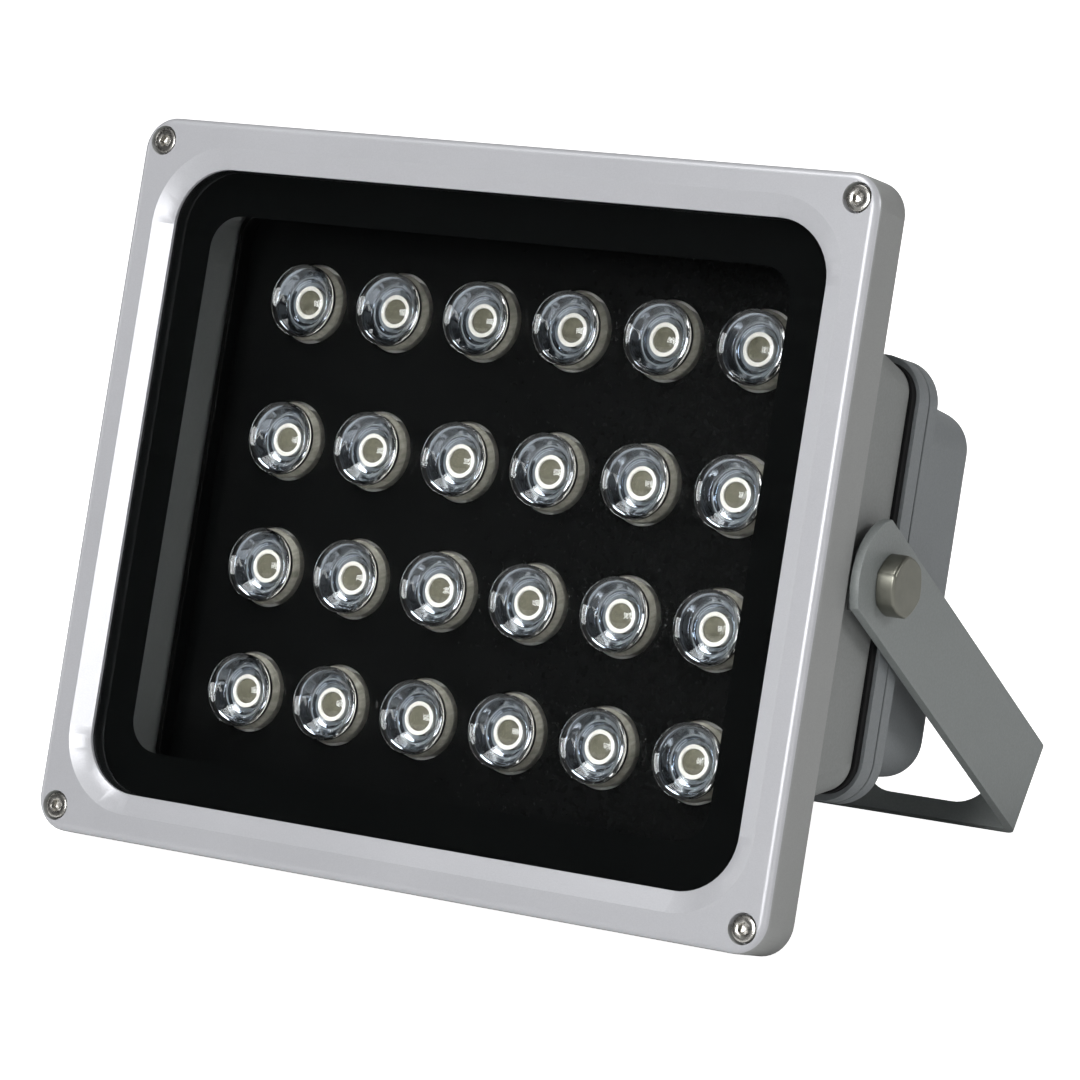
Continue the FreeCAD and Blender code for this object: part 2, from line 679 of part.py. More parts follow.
def main_housing():
    body = new_body("main_housing")
    flange_corner = S.frame_corner - S.frame_skirt - S.flange_gap
    slab(
        body,
        "front_flange",
        rounded(FLANGE_WIDTH, FLANGE_HEIGHT, flange_corner),
        FLANGE_PLACE,
        S.flange_thickness,
    )
    outer_width = ROOM_WIDTH + S.housing_wall * 2
    outer_height = ROOM_HEIGHT + S.housing_wall * 2
    loft(
        body,
        "AdditiveLoft",
        "housing_shell",
        rounded(outer_width + S.housing_draft * 2, outer_height + S.housing_draft * 2, S.housing_corner),
        FLANGE_PLACE,
        rounded(outer_width, outer_height, S.housing_corner),
        FLOOR_REAR,
    )
    cheek_front = S.frame_depth + S.cheek_gap
    slab(
        body,
        "cheek_root",
        rounded(FLANGE_WIDTH, S.cheek_height_front, S.cheek_corner),
        FLANGE_PLACE,
        cheek_front - FLANGE_PLACE,
    )
    loft(
        body,
        "AdditiveLoft",
        "cheeks",
        rounded(CHEEK_WIDTH, S.cheek_height_front, S.cheek_corner),
        cheek_front,
        rounded(CHEEK_WIDTH, S.cheek_height_rear, S.cheek_corner),
        S.rear_flange_place,
    )
    slab(
        body,
        "rear_flange",
        rounded(REAR_FLANGE_WIDTH, S.rear_flange_height, S.rear_flange_corner),
        S.rear_flange_place,
        S.rear_flange_thickness,
    )
    boss_outline = rounded(BOSS_SIDE * 2, S.boss_height, S.boss_corner)
    slab(
        body,
        "pivot_bosses",
        [(across, up - S.pivot_drop, *arc) for across, up, *arc in boss_outline],
        S.pivot_place - S.boss_length / 2,
        S.boss_length,
    )
    screw_end = SCREW_SEAT + S.frame_screw_length + S.hole_end
    pegs(
        body,
        "screw_bosses",
        FRAME_SCREW_PLACES,
        SCREW_BOSS_WIDTH,
        FLANGE_PLACE,
        screw_end + S.boss_wall - FLANGE_PLACE,
    )
    doc.recompute()
    cooling_fins(body)
    recess(
        body,
        "lamp_cavity",
        rounded(CAVITY_WIDTH, CAVITY_HEIGHT, S.cavity_corner),
        FLANGE_PLACE,
        LEDGE_PLACE - FLANGE_PLACE,
    )
    recess(
        body,
        "board_room",
        rounded(ROOM_WIDTH, ROOM_HEIGHT, ROOM_CORNER),
        LEDGE_PLACE,
        FLOOR_FRONT - LEDGE_PLACE,
    )
    recess(
        body,
        "rear_recess",
        rounded(RECESS_WIDTH, RECESS_HEIGHT, S.rear_flange_corner),
        FLOOR_REAR,
        REAR_FLANGE_END - FLOOR_REAR,
    )
    holes(
        body,
        "frame_screw_threads",
        FRAME_SCREW_PLACES,
        S.frame_screw_shank + S.thread_play,
        FLANGE_PLACE,
        screw_end - FLANGE_PLACE,
    )
    cover_screw_end = COVER_FLANGE_END - S.cover_screw_length - S.hole_end
    holes(
        body,
        "cover_screw_threads",
        COVER_SCREW_PLACES,
        S.cover_screw_shank + S.thread_play,
        cover_screw_end,
        REAR_FLANGE_END - cover_screw_end,
    )
    holes(
        body,
        "board_screw_threads",
        BOARD_SCREW_PLACES,
        S.board_screw_shank + S.thread_play,
        FLOOR_FRONT,
        S.board_screw_length - S.board_thickness + S.thread_play,
    )
    driver_hole = S.driver_screw_length - S.driver_ear_thickness + S.thread_play
    holes(
        body,
        "driver_screw_threads",
        DRIVER_SCREW_PLACES,
        S.board_screw_shank + S.thread_play,
        FLOOR_REAR - driver_hole,
        driver_hole,
    )
    holes(
        body,
        "wire_hole",
        [(LEAD_ACROSS, sized(0))],
        S.grommet_bore + S.grommet_wall * 2 + S.thread_play,
        FLOOR_FRONT,
        S.floor_thickness,
    )
    hole_bottom = ARM_OUTSIDE - S.bolt_length - S.hole_end
    for side, name in ((1, "right"), (-1, "left")):
        sketch = new_sketch(body, "bolt_circle_" + name, -hole_bottom * side, "YZ_Plane")
        draw_circles(sketch, [(-S.pivot_drop, -S.pivot_place)], S.bolt_size + S.thread_play)
        thread = feature(body, "Pocket", "bolt_thread_" + name, sketch, reverse=side > 0)
        thread.setExpression("Length", (BOSS_SIDE - hole_bottom).text)
    return body


def lens_cover_plate():
    body = new_body("lens_cover_plate")
    slab(
        body,
        "plate_sheet",
        rounded(
            CAVITY_WIDTH - S.plate_gap * 2, CAVITY_HEIGHT - S.plate_gap * 2, S.cavity_corner - S.plate_gap
        ),
        S.plate_place,
        S.plate_thickness,
    )
    holes(body, "plate_lens_holes", LENS_PLACES, S.lens_hole, S.plate_place, S.plate_thickness)
    return body


def led_board():
    body = new_body("led_board")
    slab(
        body,
        "board_sheet",
        rounded(BOARD_WIDTH, BOARD_HEIGHT, ROOM_CORNER),
        S.board_place,
        S.board_thickness,
    )
    holes(
        body,
        "board_screw_holes",
        BOARD_SCREW_PLACES,
        S.board_screw_shank + S.hole_play,
        S.board_place,
        S.board_thickness,
    )
    lead_hole = S.lead_width + S.lead_play
    holes(body, "board_lead_holes", LEAD_PLACES, lead_hole, S.board_place, S.board_thickness)
    return body


def led_emitters():
    """Emitters: a square-cut ceramic base with a clear dome, base down at height 0."""
    master = new_body("one_emitter")
    dome = S.emitter_dome / 2
    turned(
        master,
        "emitter_form",
        [
            (sized(0), sized(0)),
            (S.emitter_width / 2, sized(0)),
            (S.emitter_width / 2, S.emitter_base),
            (dome, S.emitter_base, dome),
            (sized(0), S.emitter_base + dome),
        ],
    )
    return group("led_emitters", master, facing(S.board_place, LENS_PLACES))


def lenses():
    """Lenses: a moulded cone under a rim, dished in front, with a well for the emitter."""
    master = new_body("one_lens")
    foot = LENS_SEAT - (S.board_place - S.holder_floor - S.lens_foot_gap)
    shoulder = S.holder_width / 2 - S.holder_wall - S.lens_holder_gap
    dish = S.lens_flange_thickness - S.lens_dish_depth
    turned(
        master,
        "lens_form",
        [
            (sized(0), dish),
            (sized(0), foot + S.lens_well_depth),
            (S.lens_well / 2, foot + S.lens_well_depth),
            (S.lens_well / 2, foot),
            (S.lens_foot / 2, foot),
            (shoulder, sized(0)),
            (S.lens_flange / 2, sized(0)),
            (S.lens_flange / 2, S.lens_flange_thickness),
            (S.lens_dish / 2, S.lens_flange_thickness),
            (S.lens_eye / 2, dish),
        ],
    )
    return group("lenses", master, facing(LENS_SEAT, LENS_PLACES))


def lens_holders():
    """Holders: thin cups that stand on the board round each emitter."""
    master = new_body("one_lens_holder")
    height = S.board_place - LENS_SEAT
    outside = S.holder_width / 2
    inside = outside - S.holder_wall
    mouth = (S.emitter_width + S.emitter_gap) / 2
    turned(
        master,
        "holder_form",
        [
            (mouth, sized(0)),
            (outside, sized(0)),
            (outside, height),
            (inside, height),
            (inside, S.holder_floor),
            (mouth, S.holder_floor),
        ],
    )
    return group("lens_holders", master, facing(S.board_place, LENS_PLACES))


def socket_screw(name, head, head_height, shank, length, socket, socket_depth):
    """A screw with its seat at height 0: head above, shank below, hexagon socket."""
    master = new_body(name)
    turned(
        master,
        name + "_form",
        [
            (sized(0), -length),
            (shank / 2, -length),
            (shank / 2, sized(0)),
            (head / 2, sized(0)),
            (head / 2, head_height),
            (sized(0), head_height),
        ],
    )
    recess(master, name + "_socket", hexagon(socket), -head_height, socket_depth)
    return master


def frame_screws():
    master = socket_screw(
        "one_frame_screw",
        S.frame_screw_head,
        S.frame_screw_head_height,
        S.frame_screw_shank,
        S.frame_screw_length,
        S.frame_screw_socket,
        S.frame_screw_socket_depth,
    )
    return group("frame_screws", master, facing(SCREW_SEAT, FRAME_SCREW_PLACES))


def board_screws():
    master = socket_screw(
        "one_board_screw",
        S.board_screw_head,
        S.board_screw_head_height,
        S.board_screw_shank,
        S.board_screw_length,
        S.board_screw_socket,
        S.board_screw_socket_depth,
    )
    return group("board_screws", master, facing(S.board_place, BOARD_SCREW_PLACES))


def rear_cover_screws():
    master = socket_screw(
        "one_cover_screw",
        S.cover_screw_head,
        S.cover_screw_head_height,
        S.cover_screw_shank,
        S.cover_screw_length,
        S.cover_screw_socket,
        S.cover_screw_socket_depth,
    )
    return group("rear_cover_screws", master, facing(COVER_FLANGE_END, COVER_SCREW_PLACES, TO_THE_BACK))


def driver_screws():
    master = socket_screw(
        "one_driver_screw",
        S.board_screw_head,
        S.board_screw_head_height,
        S.board_screw_shank,
        S.driver_screw_length,
        S.board_screw_socket,
        S.board_screw_socket_depth,
    )
    seat = FLOOR_REAR + S.driver_ear_thickness
    return group("driver_screws", master, facing(seat, DRIVER_SCREW_PLACES, TO_THE_BACK))


def rear_cover_seal():
    body = new_body("rear_cover_seal")
    corner = S.rear_flange_corner - S.cover_seal_inset
    slab(
        body,
        "cover_seal_sheet",
        rounded(
            REAR_FLANGE_WIDTH - S.cover_seal_inset * 2, S.rear_flange_height - S.cover_seal_inset * 2, corner
        ),
        REAR_FLANGE_END,
        S.cover_seal_thickness,
    )
    recess(
        body,
        "cover_seal_opening",
        rounded(RECESS_WIDTH, RECESS_HEIGHT, S.rear_flange_corner),
        REAR_FLANGE_END,
        S.cover_seal_thickness,
    )
    holes(
        body,
        "cover_seal_holes",
        COVER_SCREW_PLACES,
        S.cover_screw_shank + S.hole_play,
        REAR_FLANGE_END,
        S.cover_seal_thickness,
    )
    return body


def rear_cover():
    body = new_body("rear_cover")
    end_width = BOX_WIDTH - S.cover_draft_side * 2
    end_height = BOX_HEIGHT - S.cover_draft_top * 2
    wall = S.cover_wall
    box = loft(
        body,
        "AdditiveLoft",
        "cover_box",
        rounded(BOX_WIDTH, BOX_HEIGHT, S.cover_box_corner_front),
        COVER_PLACE,
        rounded(end_width, end_height, S.cover_box_corner_rear),
        COVER_END,
    )
    soften(body, "Fillet", "cover_back_round", box, [COVER_END], S.cover_box_round)
    slab(
        body,
        "cover_flange",
        rounded(REAR_FLANGE_WIDTH, S.rear_flange_height, S.rear_flange_corner),
        COVER_PLACE,
        S.cover_flange_thickness,
    )
    loft(
        body,
        "SubtractiveLoft",
        "cover_room",
        rounded(BOX_WIDTH - wall * 2, BOX_HEIGHT - wall * 2, S.cover_box_corner_front - wall),
        COVER_PLACE,
        rounded(end_width - wall * 2, end_height - wall * 2, S.cover_box_corner_rear - wall),
        COVER_END - wall,
    )
    holes(
        body,
        "cover_screw_holes",
        COVER_SCREW_PLACES,
        S.cover_screw_shank + S.hole_play,
        COVER_PLACE,
        S.cover_flange_thickness,
    )
    holes(
        body,
        "cover_gland_hole",
        [(GLAND_ACROSS, S.gland_up)],
        S.gland_thread + S.hole_play,
        COVER_END - wall,
        wall,
    )
    return body


def led_driver():
    body = new_body("led_driver")
    slab(
        body,
        "driver_foot",
        rounded(
            DRIVER_LENGTH + S.driver_ear * 2, S.driver_height, S.driver_round, across=DRIVER_MIDDLE
        ),
        FLOOR_REAR,
        S.driver_ear_thickness,
    )
    slab(
        body,
        "driver_case",
        rounded(DRIVER_LENGTH, S.driver_height, S.driver_round, across=DRIVER_MIDDLE),
        FLOOR_REAR,
        S.driver_depth,
    )
    holes(
        body,
        "driver_ear_holes",
        DRIVER_SCREW_PLACES,
        S.board_screw_shank + S.hole_play,
        FLOOR_REAR,
        S.driver_ear_thickness,
    )
    return body


def wire_grommet():
    """A rubber sleeve in the floor of the housing, with its rim on the driver's side."""
    body = new_body("wire_grommet")
    sleeve = S.grommet_bore + S.grommet_wall * 2
    spot = [(LEAD_ACROSS, sized(0))]
    pegs(body, "grommet_sleeve", spot, sleeve, FLOOR_FRONT, S.floor_thickness)
    pegs(body, "grommet_rim_disc", spot, S.grommet_rim, FLOOR_REAR, S.grommet_rim_thickness)
    whole = S.floor_thickness + S.grommet_rim_thickness
    holes(body, "grommet_hole", spot, S.grommet_bore, FLOOR_FRONT, whole)
    return body


def lead_wires():
    """Two leads: up through the board and grommet, then over to the end of the driver."""
    master = new_body("one_lead")
    start = S.board_place - S.lead_stub
    level = FLOOR_REAR + S.lead_rise
    path = new_sketch(master, "lead_path", sized(0), "XZ_Plane")
    rise = path.addGeometry(
        Part.LineSegment(
            FreeCAD.Vector(LEAD_ACROSS.value, -start.value, 0),
            FreeCAD.Vector(LEAD_ACROSS.value, -(level - S.lead_bend).value, 0),
        ),
        False,
    )
    centre = FreeCAD.Vector((LEAD_ACROSS - S.lead_bend).value, -(level - S.lead_bend).value, 0)
    circle = Part.Circle(centre, FreeCAD.Vector(0, 0, 1), S.lead_bend.value)
    bend = path.addGeometry(Part.ArcOfCircle(circle, -math.pi / 2, 0), False)
    run = path.addGeometry(
        Part.LineSegment(
            FreeCAD.Vector((LEAD_ACROSS - S.lead_bend).value, -level.value, 0),
            FreeCAD.Vector(DRIVER_RIGHT.value, -level.value, 0),
        ),
        False,
    )
    path.addConstraint(Sketcher.Constraint("Coincident", rise, 2, bend, 2))
    path.addConstraint(Sketcher.Constraint("Coincident", bend, 1, run, 1))
    limit(path, "Radius", bend, S.lead_bend)
    for index, end, across, place in (
        (rise, 1, LEAD_ACROSS, start),
        (rise, 2, LEAD_ACROSS, level - S.lead_bend),
        (run, 1, LEAD_ACROSS - S.lead_bend, level),
        (run, 2, DRIVER_RIGHT, level),
    ):
        limit(path, "DistanceX", -1, 1, index, end, across)
        limit(path, "DistanceY", -1, 1, index, end, -place)
    section = new_sketch(master, "lead_section", start)
    draw_circles(section, [(LEAD_ACROSS, sized(0))], S.lead_width)
    pipe = feature(master, "AdditivePipe", "lead", section)
    pipe.Spine = (path, [])
    spots = [(sized(0), S.lead_spread / 2 * end) for end in (1, -1)]
    return group("lead_wires", master, facing(sized(0), spots))


POLES = [(TERMINAL_ACROSS, S.terminal_pitch * step) for step in (1, 0, -1)]


def terminal_block():
    body = new_body("terminal_block")
    slab(
        body,
        "terminal_case",
        rounded(S.terminal_width, S.terminal_length, S.driver_round, across=TERMINAL_ACROSS),
        FLOOR_REAR,
        S.terminal_depth,
    )
    well = S.terminal_screw_sink + S.terminal_screw_length
    holes(
        body,
        "terminal_wells",
        POLES,
        S.terminal_screw + S.thread_play,
        FLOOR_REAR + S.terminal_depth - well,
        well,
    )
    return body


def terminal_screws():
    """Headless screws in the wells of the terminal block, with a slot across the end."""
    master = new_body("one_terminal_screw")
    turned(
        master,
        "terminal_screw_form",
        [
            (sized(0), sized(0)),
            (S.terminal_screw / 2, sized(0)),
            (S.terminal_screw / 2, S.terminal_screw_length),
            (sized(0), S.terminal_screw_length),
        ],
    )
    slot = S.terminal_screw / 5
    recess(
        master,
        "terminal_screw_slot",
        rounded(S.terminal_screw * 2, slot, slot / 4),
        -S.terminal_screw_length,
        slot,
    )
    seat = FLOOR_REAR + S.terminal_depth - S.terminal_screw_sink - S.terminal_screw_length
    return group("terminal_screws", master, facing(seat, POLES, TO_THE_BACK))


def driver_leads():
    """Three straight leads from the terminal block to the end of the driver."""
    master = new_body("one_driver_lead")
    pegs(master, "driver_lead", [(sized(0), sized(0))], S.lead_width, sized(0), S.terminal_gap)
    turn = FreeCAD.Rotation(FreeCAD.Vector(0, 1, 0), -90)
    face = TERMINAL_ACROSS + S.terminal_width / 2
    spots = [(face, up) for across, up in POLES]
    return group("driver_leads", master, facing(FLOOR_REAR + S.terminal_lead_place, spots, turn))


GLAND = [(GLAND_ACROSS, S.gland_up)]


def at_gland(label, master):
    return group(label, master, facing(COVER_END, GLAND, TO_THE_BACK))


def gland_body():
    """Gland body, with its seat on the cover at height 0 and the cable side above."""
    master = new_body("gland_body_form")
    slab(master, "gland_hexagon", hexagon(S.gland_flats), -S.gland_hex_height, S.gland_hex_height)
    low = -(S.cover_wall + S.gland_inside)
    high = S.gland_hex_height + S.gland_neck_length
    middle = [(sized(0), sized(0))]
    pegs(master, "gland_thread_peg", middle, S.gland_thread, sized(0), -low)
    pegs(master, "gland_neck_peg", middle, S.gland_neck, -high, S.gland_neck_length)
    holes(master, "gland_through", middle, S.gland_bore, -high, high - low)
    holes(master, "gland_bush_seat", middle, S.bush_width + S.thread_play, -high, S.bush_sink)
    return at_gland("gland_body", master)


def gland_nut():
    master = new_body("gland_nut_form")
    slab(master, "gland_nut_hexagon", hexagon(S.gland_flats), S.cover_wall, S.gland_nut_height)
    middle = [(sized(0), sized(0))]
    holes(master, "gland_nut_hole", middle, S.gland_thread + S.thread_play, S.cover_wall, S.gland_nut_height)
    return at_gland("gland_nut", master)


def gland_cap():
    """Gland cap: a hexagon cup over the neck, with a round shoulder and the cable's mouth."""
    master = new_body("gland_cap_form")
    low = S.gland_hex_height + S.gland_cap_gap
    inside = S.gland_hex_height + S.gland_neck_length - S.bush_sink + S.bush_length
    high = inside + S.gland_cap_end
    slab(master, "gland_cap_hexagon", hexagon(S.gland_flats), -high, high - low)
    corner = S.gland_flats / math.sqrt(3)
    slant = corner - S.gland_flats / 2
    turned(
        master,
        "gland_cap_shoulder",
        [
            (S.gland_flats / 2 - slant, high),
            (corner + slant, high - slant * 3),
            (corner + slant, high + slant),
            (S.gland_flats / 2 - slant, high + slant),
        ],
        "Groove",
    )
    middle = [(sized(0), sized(0))]
    holes(master, "gland_cap_cup", middle, S.gland_neck + S.thread_play, -inside, inside - low)
    holes(master, "gland_cap_mouth", middle, S.cable_bore + S.hole_play * 2, -high, S.gland_cap_end)
    return at_gland("gland_cap", master)


def gland_bush():
    master = new_body("gland_bush_form")
    high = S.gland_hex_height + S.gland_neck_length - S.bush_sink + S.bush_length
    middle = [(sized(0), sized(0))]
    pegs(master, "bush_sleeve", middle, S.bush_width, -high, S.bush_length)
    holes(master, "bush_bore", middle, S.cable_bore, -high, S.bush_length)
    return at_gland("gland_bush", master)


def pivot_bolts():
    """Hexagon bolts that the bracket turns on, one into each side of the housing."""
    master = new_body("one_pivot_bolt")
    shank = S.bolt_size / 2
    slab(master, "bolt_head", hexagon(S.bolt_head_flats), -S.bolt_head_height, S.bolt_head_height)
    corner = S.bolt_head_flats / math.sqrt(3)
    face = S.bolt_head_face / 2
    spread = (corner - face) * 2
    turned(
        master,
        "bolt_head_chamfer",
        [
            (face, S.bolt_head_height),
            (face + spread, S.bolt_head_height - S.bolt_head_slant * 2),
            (face + spread, S.bolt_head_height + S.bolt_head_slant),
            (face, S.bolt_head_height + S.bolt_head_slant),
        ],
        "Groove",
    )
    middle = [(sized(0), sized(0))]
    pegs(master, "bolt_shank", middle, shank * 2, sized(0), S.bolt_length)
    placements = sideways(ARM_OUTSIDE)
    return group("pivot_bolts", master, placements)


def sideways(across):
    """Placements on the tilt axis, right and left, that point outwards."""
    spots = []
    for side in (1, -1):
        turn = FreeCAD.Rotation(FreeCAD.Vector(0, 1, 0), 90 * side)
        spots.append(FreeCAD.Placement(PIVOT + FreeCAD.Vector(across.value * side, 0, 0), turn))
    return spots


def friction_washers():
    master = new_body("one_washer")
    middle = [(sized(0), sized(0))]
    pegs(master, "washer_disc", middle, S.washer_width, sized(0), S.washer_thickness)
    holes(master, "washer_hole", middle, S.bolt_size + S.hole_play, sized(0), S.washer_thickness)
    return group("friction_washers", master, sideways(ARM_INSIDE))


def u_bracket():
    """The bent strap, drawn with its arms straight back and the tilt axis at the origin."""
    body = new_body("u_bracket")
    reach = STRAP_REACH
    inner_end = reach - S.strap_thickness
    outer_bend = S.strap_bend + S.strap_thickness
    half = S.strap_width / 2
    section = new_sketch(body, "strap_section", sized(0), "XZ_Plane")
    draw_outline(
        section,
        [
            (-ARM_OUTSIDE, S.strap_tip),
            (-ARM_OUTSIDE, -(reach - outer_bend), outer_bend),
            (-(ARM_OUTSIDE - outer_bend), -reach),
            (ARM_OUTSIDE - outer_bend, -reach, outer_bend),
            (ARM_OUTSIDE, -(reach - outer_bend)),
            (ARM_OUTSIDE, S.strap_tip),
            (ARM_INSIDE, S.strap_tip),
            (ARM_INSIDE, -(inner_end - S.strap_bend), -S.strap_bend),
            (ARM_INSIDE - S.strap_bend, -inner_end),
            (-(ARM_INSIDE - S.strap_bend), -inner_end, -S.strap_bend),
            (-ARM_INSIDE, -(inner_end - S.strap_bend)),
            (-ARM_INSIDE, S.strap_tip),
        ],
    )
    strap = feature(body, "Pad", "strap", section)
    strap.Midplane = True
    strap.setExpression("Length", S.strap_width.text)
    # The round ends: what lies outside the arc about the tilt axis is cut away.
    tips = new_sketch(body, "strap_tip_waste", sized(0), "YZ_Plane")
    level = Size(
        math.sqrt(S.strap_tip.value**2 - half.value**2), "sqrt(%s^2 - %s^2)" % (S.strap_tip.text, half.text)
    )
    draw_outline(
        tips,
        [
            (half, level, S.strap_tip),
            (-half, level),
            (-S.strap_tip, level),
            (-S.strap_tip, S.strap_tip * 1.2),
            (S.strap_tip, S.strap_tip * 1.2),
            (S.strap_tip, level),
        ],
    )
    cut = feature(body, "Pocket", "strap_tips", tips)
    cut.Midplane = True
    cut.setExpression("Length", (ARM_OUTSIDE * 2.2).text)
    bolt_circle = new_sketch(body, "strap_bolt_circle", sized(0), "YZ_Plane")
    draw_circles(bolt_circle, [(sized(0), sized(0))], S.bolt_size + S.thread_play)
    bore = feature(body, "Pocket", "strap_bolt_holes", bolt_circle)
    bore.Midplane = True
    bore.setExpression("Length", (ARM_OUTSIDE * 2.2).text)
    # Beside each arm the crossbar narrows to a neck along its lower edge.
    outer = ARM_OUTSIDE - S.neck_inset
    inner = outer - S.neck_length
    low = S.neck_width - half
    notch = [
        (inner, half),
        (inner, low + S.neck_corner, S.neck_corner),
        (inner + S.neck_corner, low),
        (outer - S.neck_corner, low, S.neck_corner),
        (outer, low + S.neck_corner),
        (outer, half),
    ]
    for side, name in ((1, "right"), (-1, "left")):
        points = notch if side > 0 else [mirrored(point) for point in notch]
        recess(body, "neck_" + name, points, inner_end, S.strap_thickness)
    holes(body, "mount_hole_middle", [(sized(0), sized(0))], S.mount_hole, inner_end, S.strap_thickness)
    side_spots = [(S.mount_side_pitch / 2 * side, sized(0)) for side in (1, -1)]
    holes(body, "mount_holes_side", side_spots, S.mount_side_hole, inner_end, S.strap_thickness)
    return body


def mirrored(point):
    """The point on the other side of the middle; an arc then turns the other way."""
    if len(point) == 3:
        return (-point[0], point[1], -point[2])
    return (-point[0], point[1])


HEAD_PIECES = [
    front_frame(),
    front_glass(),
    glass_border_print(),
    glass_seal(),
    frame_screws(),
    main_housing(),
    lens_cover_plate(),
    lenses(),
    lens_holders(),
    led_emitters(),
    led_board(),
    board_screws(),
    rear_cover_seal(),
    rear_cover(),
    rear_cover_screws(),
    led_driver(),
    driver_screws(),
    wire_grommet(),
    lead_wires(),
    terminal_block(),
    terminal_screws(),
    driver_leads(),
    gland_body(),
    gland_nut(),
    gland_cap(),
    gland_bush(),
    pivot_bolts(),
    friction_washers(),
]
BRACKET = u_bracket()
NODES = HEAD_PIECES + [BRACKET]
doc.recompute()

# Every object is sound, and every cut has taken something away.
for item in doc.Objects:
    if "Invalid" in item.State or "Error" in item.State:
        raise RuntimeError("%s is in state %s" % (item.Name, item.State))
    if item.TypeId in ("PartDesign::Pocket", "PartDesign::Groove", "PartDesign::SubtractiveLoft"):
        if item.Shape.Volume > item.BaseFeature.Shape.Volume - 1e-3:
            raise RuntimeError("%s cuts nothing" % item.Name)

# The lamp leans back until the lower rear edge of the frame and the lower corner of
# the crossbar are level: both are points (back, up) in the lamp's own side view.
droop = math.radians(S.strap_droop.value)
half_strap = S.strap_width.value / 2
frame_foot = (S.frame_depth.value, -S.frame_height.value / 2)
bracket_foot = (
    S.pivot_place.value + STRAP_REACH.value * math.cos(droop) - half_strap * math.sin(droop),
    -S.pivot_drop.value - STRAP_REACH.value * math.sin(droop) - half_strap * math.cos(droop),
)
lean = math.degrees(math.atan2(bracket_foot[1] - frame_foot[1], bracket_foot[0] - frame_foot[0]))
stand = FreeCAD.Placement(FreeCAD.Vector(), FreeCAD.Rotation(FreeCAD.Vector(1, 0, 0), 90 - lean))
tilt = FreeCAD.Placement(PIVOT, FreeCAD.Rotation(FreeCAD.Vector(1, 0, 0), -S.strap_droop.value))
for piece in HEAD_PIECES:
    piece.Placement = stand
BRACKET.Placement = stand * tilt
doc.recompute()

# The origin is the middle of the footprint, on the floor.
box = FreeCAD.BoundBox()
for piece in NODES:
    box.add(piece.Shape.optimalBoundingBox(False, False))
shift = FreeCAD.Placement(FreeCAD.Vector(-box.Center.x, -box.Center.y, -box.ZMin), FreeCAD.Rotation())
for piece in NODES:
    piece.Placement = shift * piece.Placement
doc.recompute()

os.makedirs("parts", exist_ok=True)
for piece in NODES:
    if piece.Shape.isNull() or not piece.Shape.isValid():
        raise RuntimeError("%s has no sound shape" % piece.Label)
for piece in NODES:
    piece.Shape.exportStep(os.path.join("parts", piece.Label + ".step"))

pivot = shift.multVec(stand.multVec(PIVOT))
print("lean %.4f degrees, tilt axis at y %.4f, z %.4f" % (lean, pivot.y, pivot.z))
print("box %.3f x %.3f x %.3f" % (box.XLength, box.YLength, box.ZLength))
for piece in NODES:
    print("%-20s %2d solids %10.1f mm3" % (piece.Label, len(piece.Shape.Solids), piece.Shape.Volume))
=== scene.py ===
"""The look of an LED flood light: cast frame, flat glass over 24 lenses, driver box and tilting bracket."""
import json
import math

import bmesh
import bpy
from mathutils import Matrix, Vector


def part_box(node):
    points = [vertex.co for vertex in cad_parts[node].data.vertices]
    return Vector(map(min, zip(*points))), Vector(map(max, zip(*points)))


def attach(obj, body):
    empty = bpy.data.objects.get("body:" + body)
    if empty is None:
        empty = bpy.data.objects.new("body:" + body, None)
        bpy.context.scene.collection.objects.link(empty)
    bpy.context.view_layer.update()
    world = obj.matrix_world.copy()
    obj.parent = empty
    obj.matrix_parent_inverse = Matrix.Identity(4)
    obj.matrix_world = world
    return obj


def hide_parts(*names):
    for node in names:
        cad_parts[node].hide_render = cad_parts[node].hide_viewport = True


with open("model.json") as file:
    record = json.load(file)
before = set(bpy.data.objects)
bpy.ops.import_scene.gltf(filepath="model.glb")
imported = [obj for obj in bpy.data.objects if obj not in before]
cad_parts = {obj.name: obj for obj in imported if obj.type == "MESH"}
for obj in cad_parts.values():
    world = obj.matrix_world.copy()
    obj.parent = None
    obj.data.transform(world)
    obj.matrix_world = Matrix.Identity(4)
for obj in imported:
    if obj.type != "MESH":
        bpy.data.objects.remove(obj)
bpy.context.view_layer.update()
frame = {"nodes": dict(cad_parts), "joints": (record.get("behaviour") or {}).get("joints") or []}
MM = 0.001

# Camera and studio.  A long lens from the right of the lamp, as a product is photographed,
# a white sweep under it, a large soft light beside the camera and one overhead.
camera_data = bpy.data.cameras.new("camera")
camera_data.lens = 153.333
camera_data.sensor_width = 36
camera_data.clip_end = 20
camera = bpy.data.objects.new("camera", camera_data)
camera.location = (0.641095, -0.992392, 0.375595)
camera.rotation_euler = [math.radians(turn) for turn in (75.9456, 1.2734, 32.4080)]
bpy.context.scene.collection.objects.link(camera)
bpy.context.scene.camera = camera
bpy.context.scene.view_settings.view_transform = "Standard"

world = bpy.data.worlds.new("studio")
bpy.context.scene.world = world
world.use_nodes = True
sky = world.node_tree.nodes["Background"]
sky.inputs["Color"].default_value = (1, 1, 1, 1)


def sky_node(kind, **values):
    node = world.node_tree.nodes.new("ShaderNode" + kind)
    for key, value in values.items():
        node.inputs[key.replace("_", " ")].default_value = value
    return node


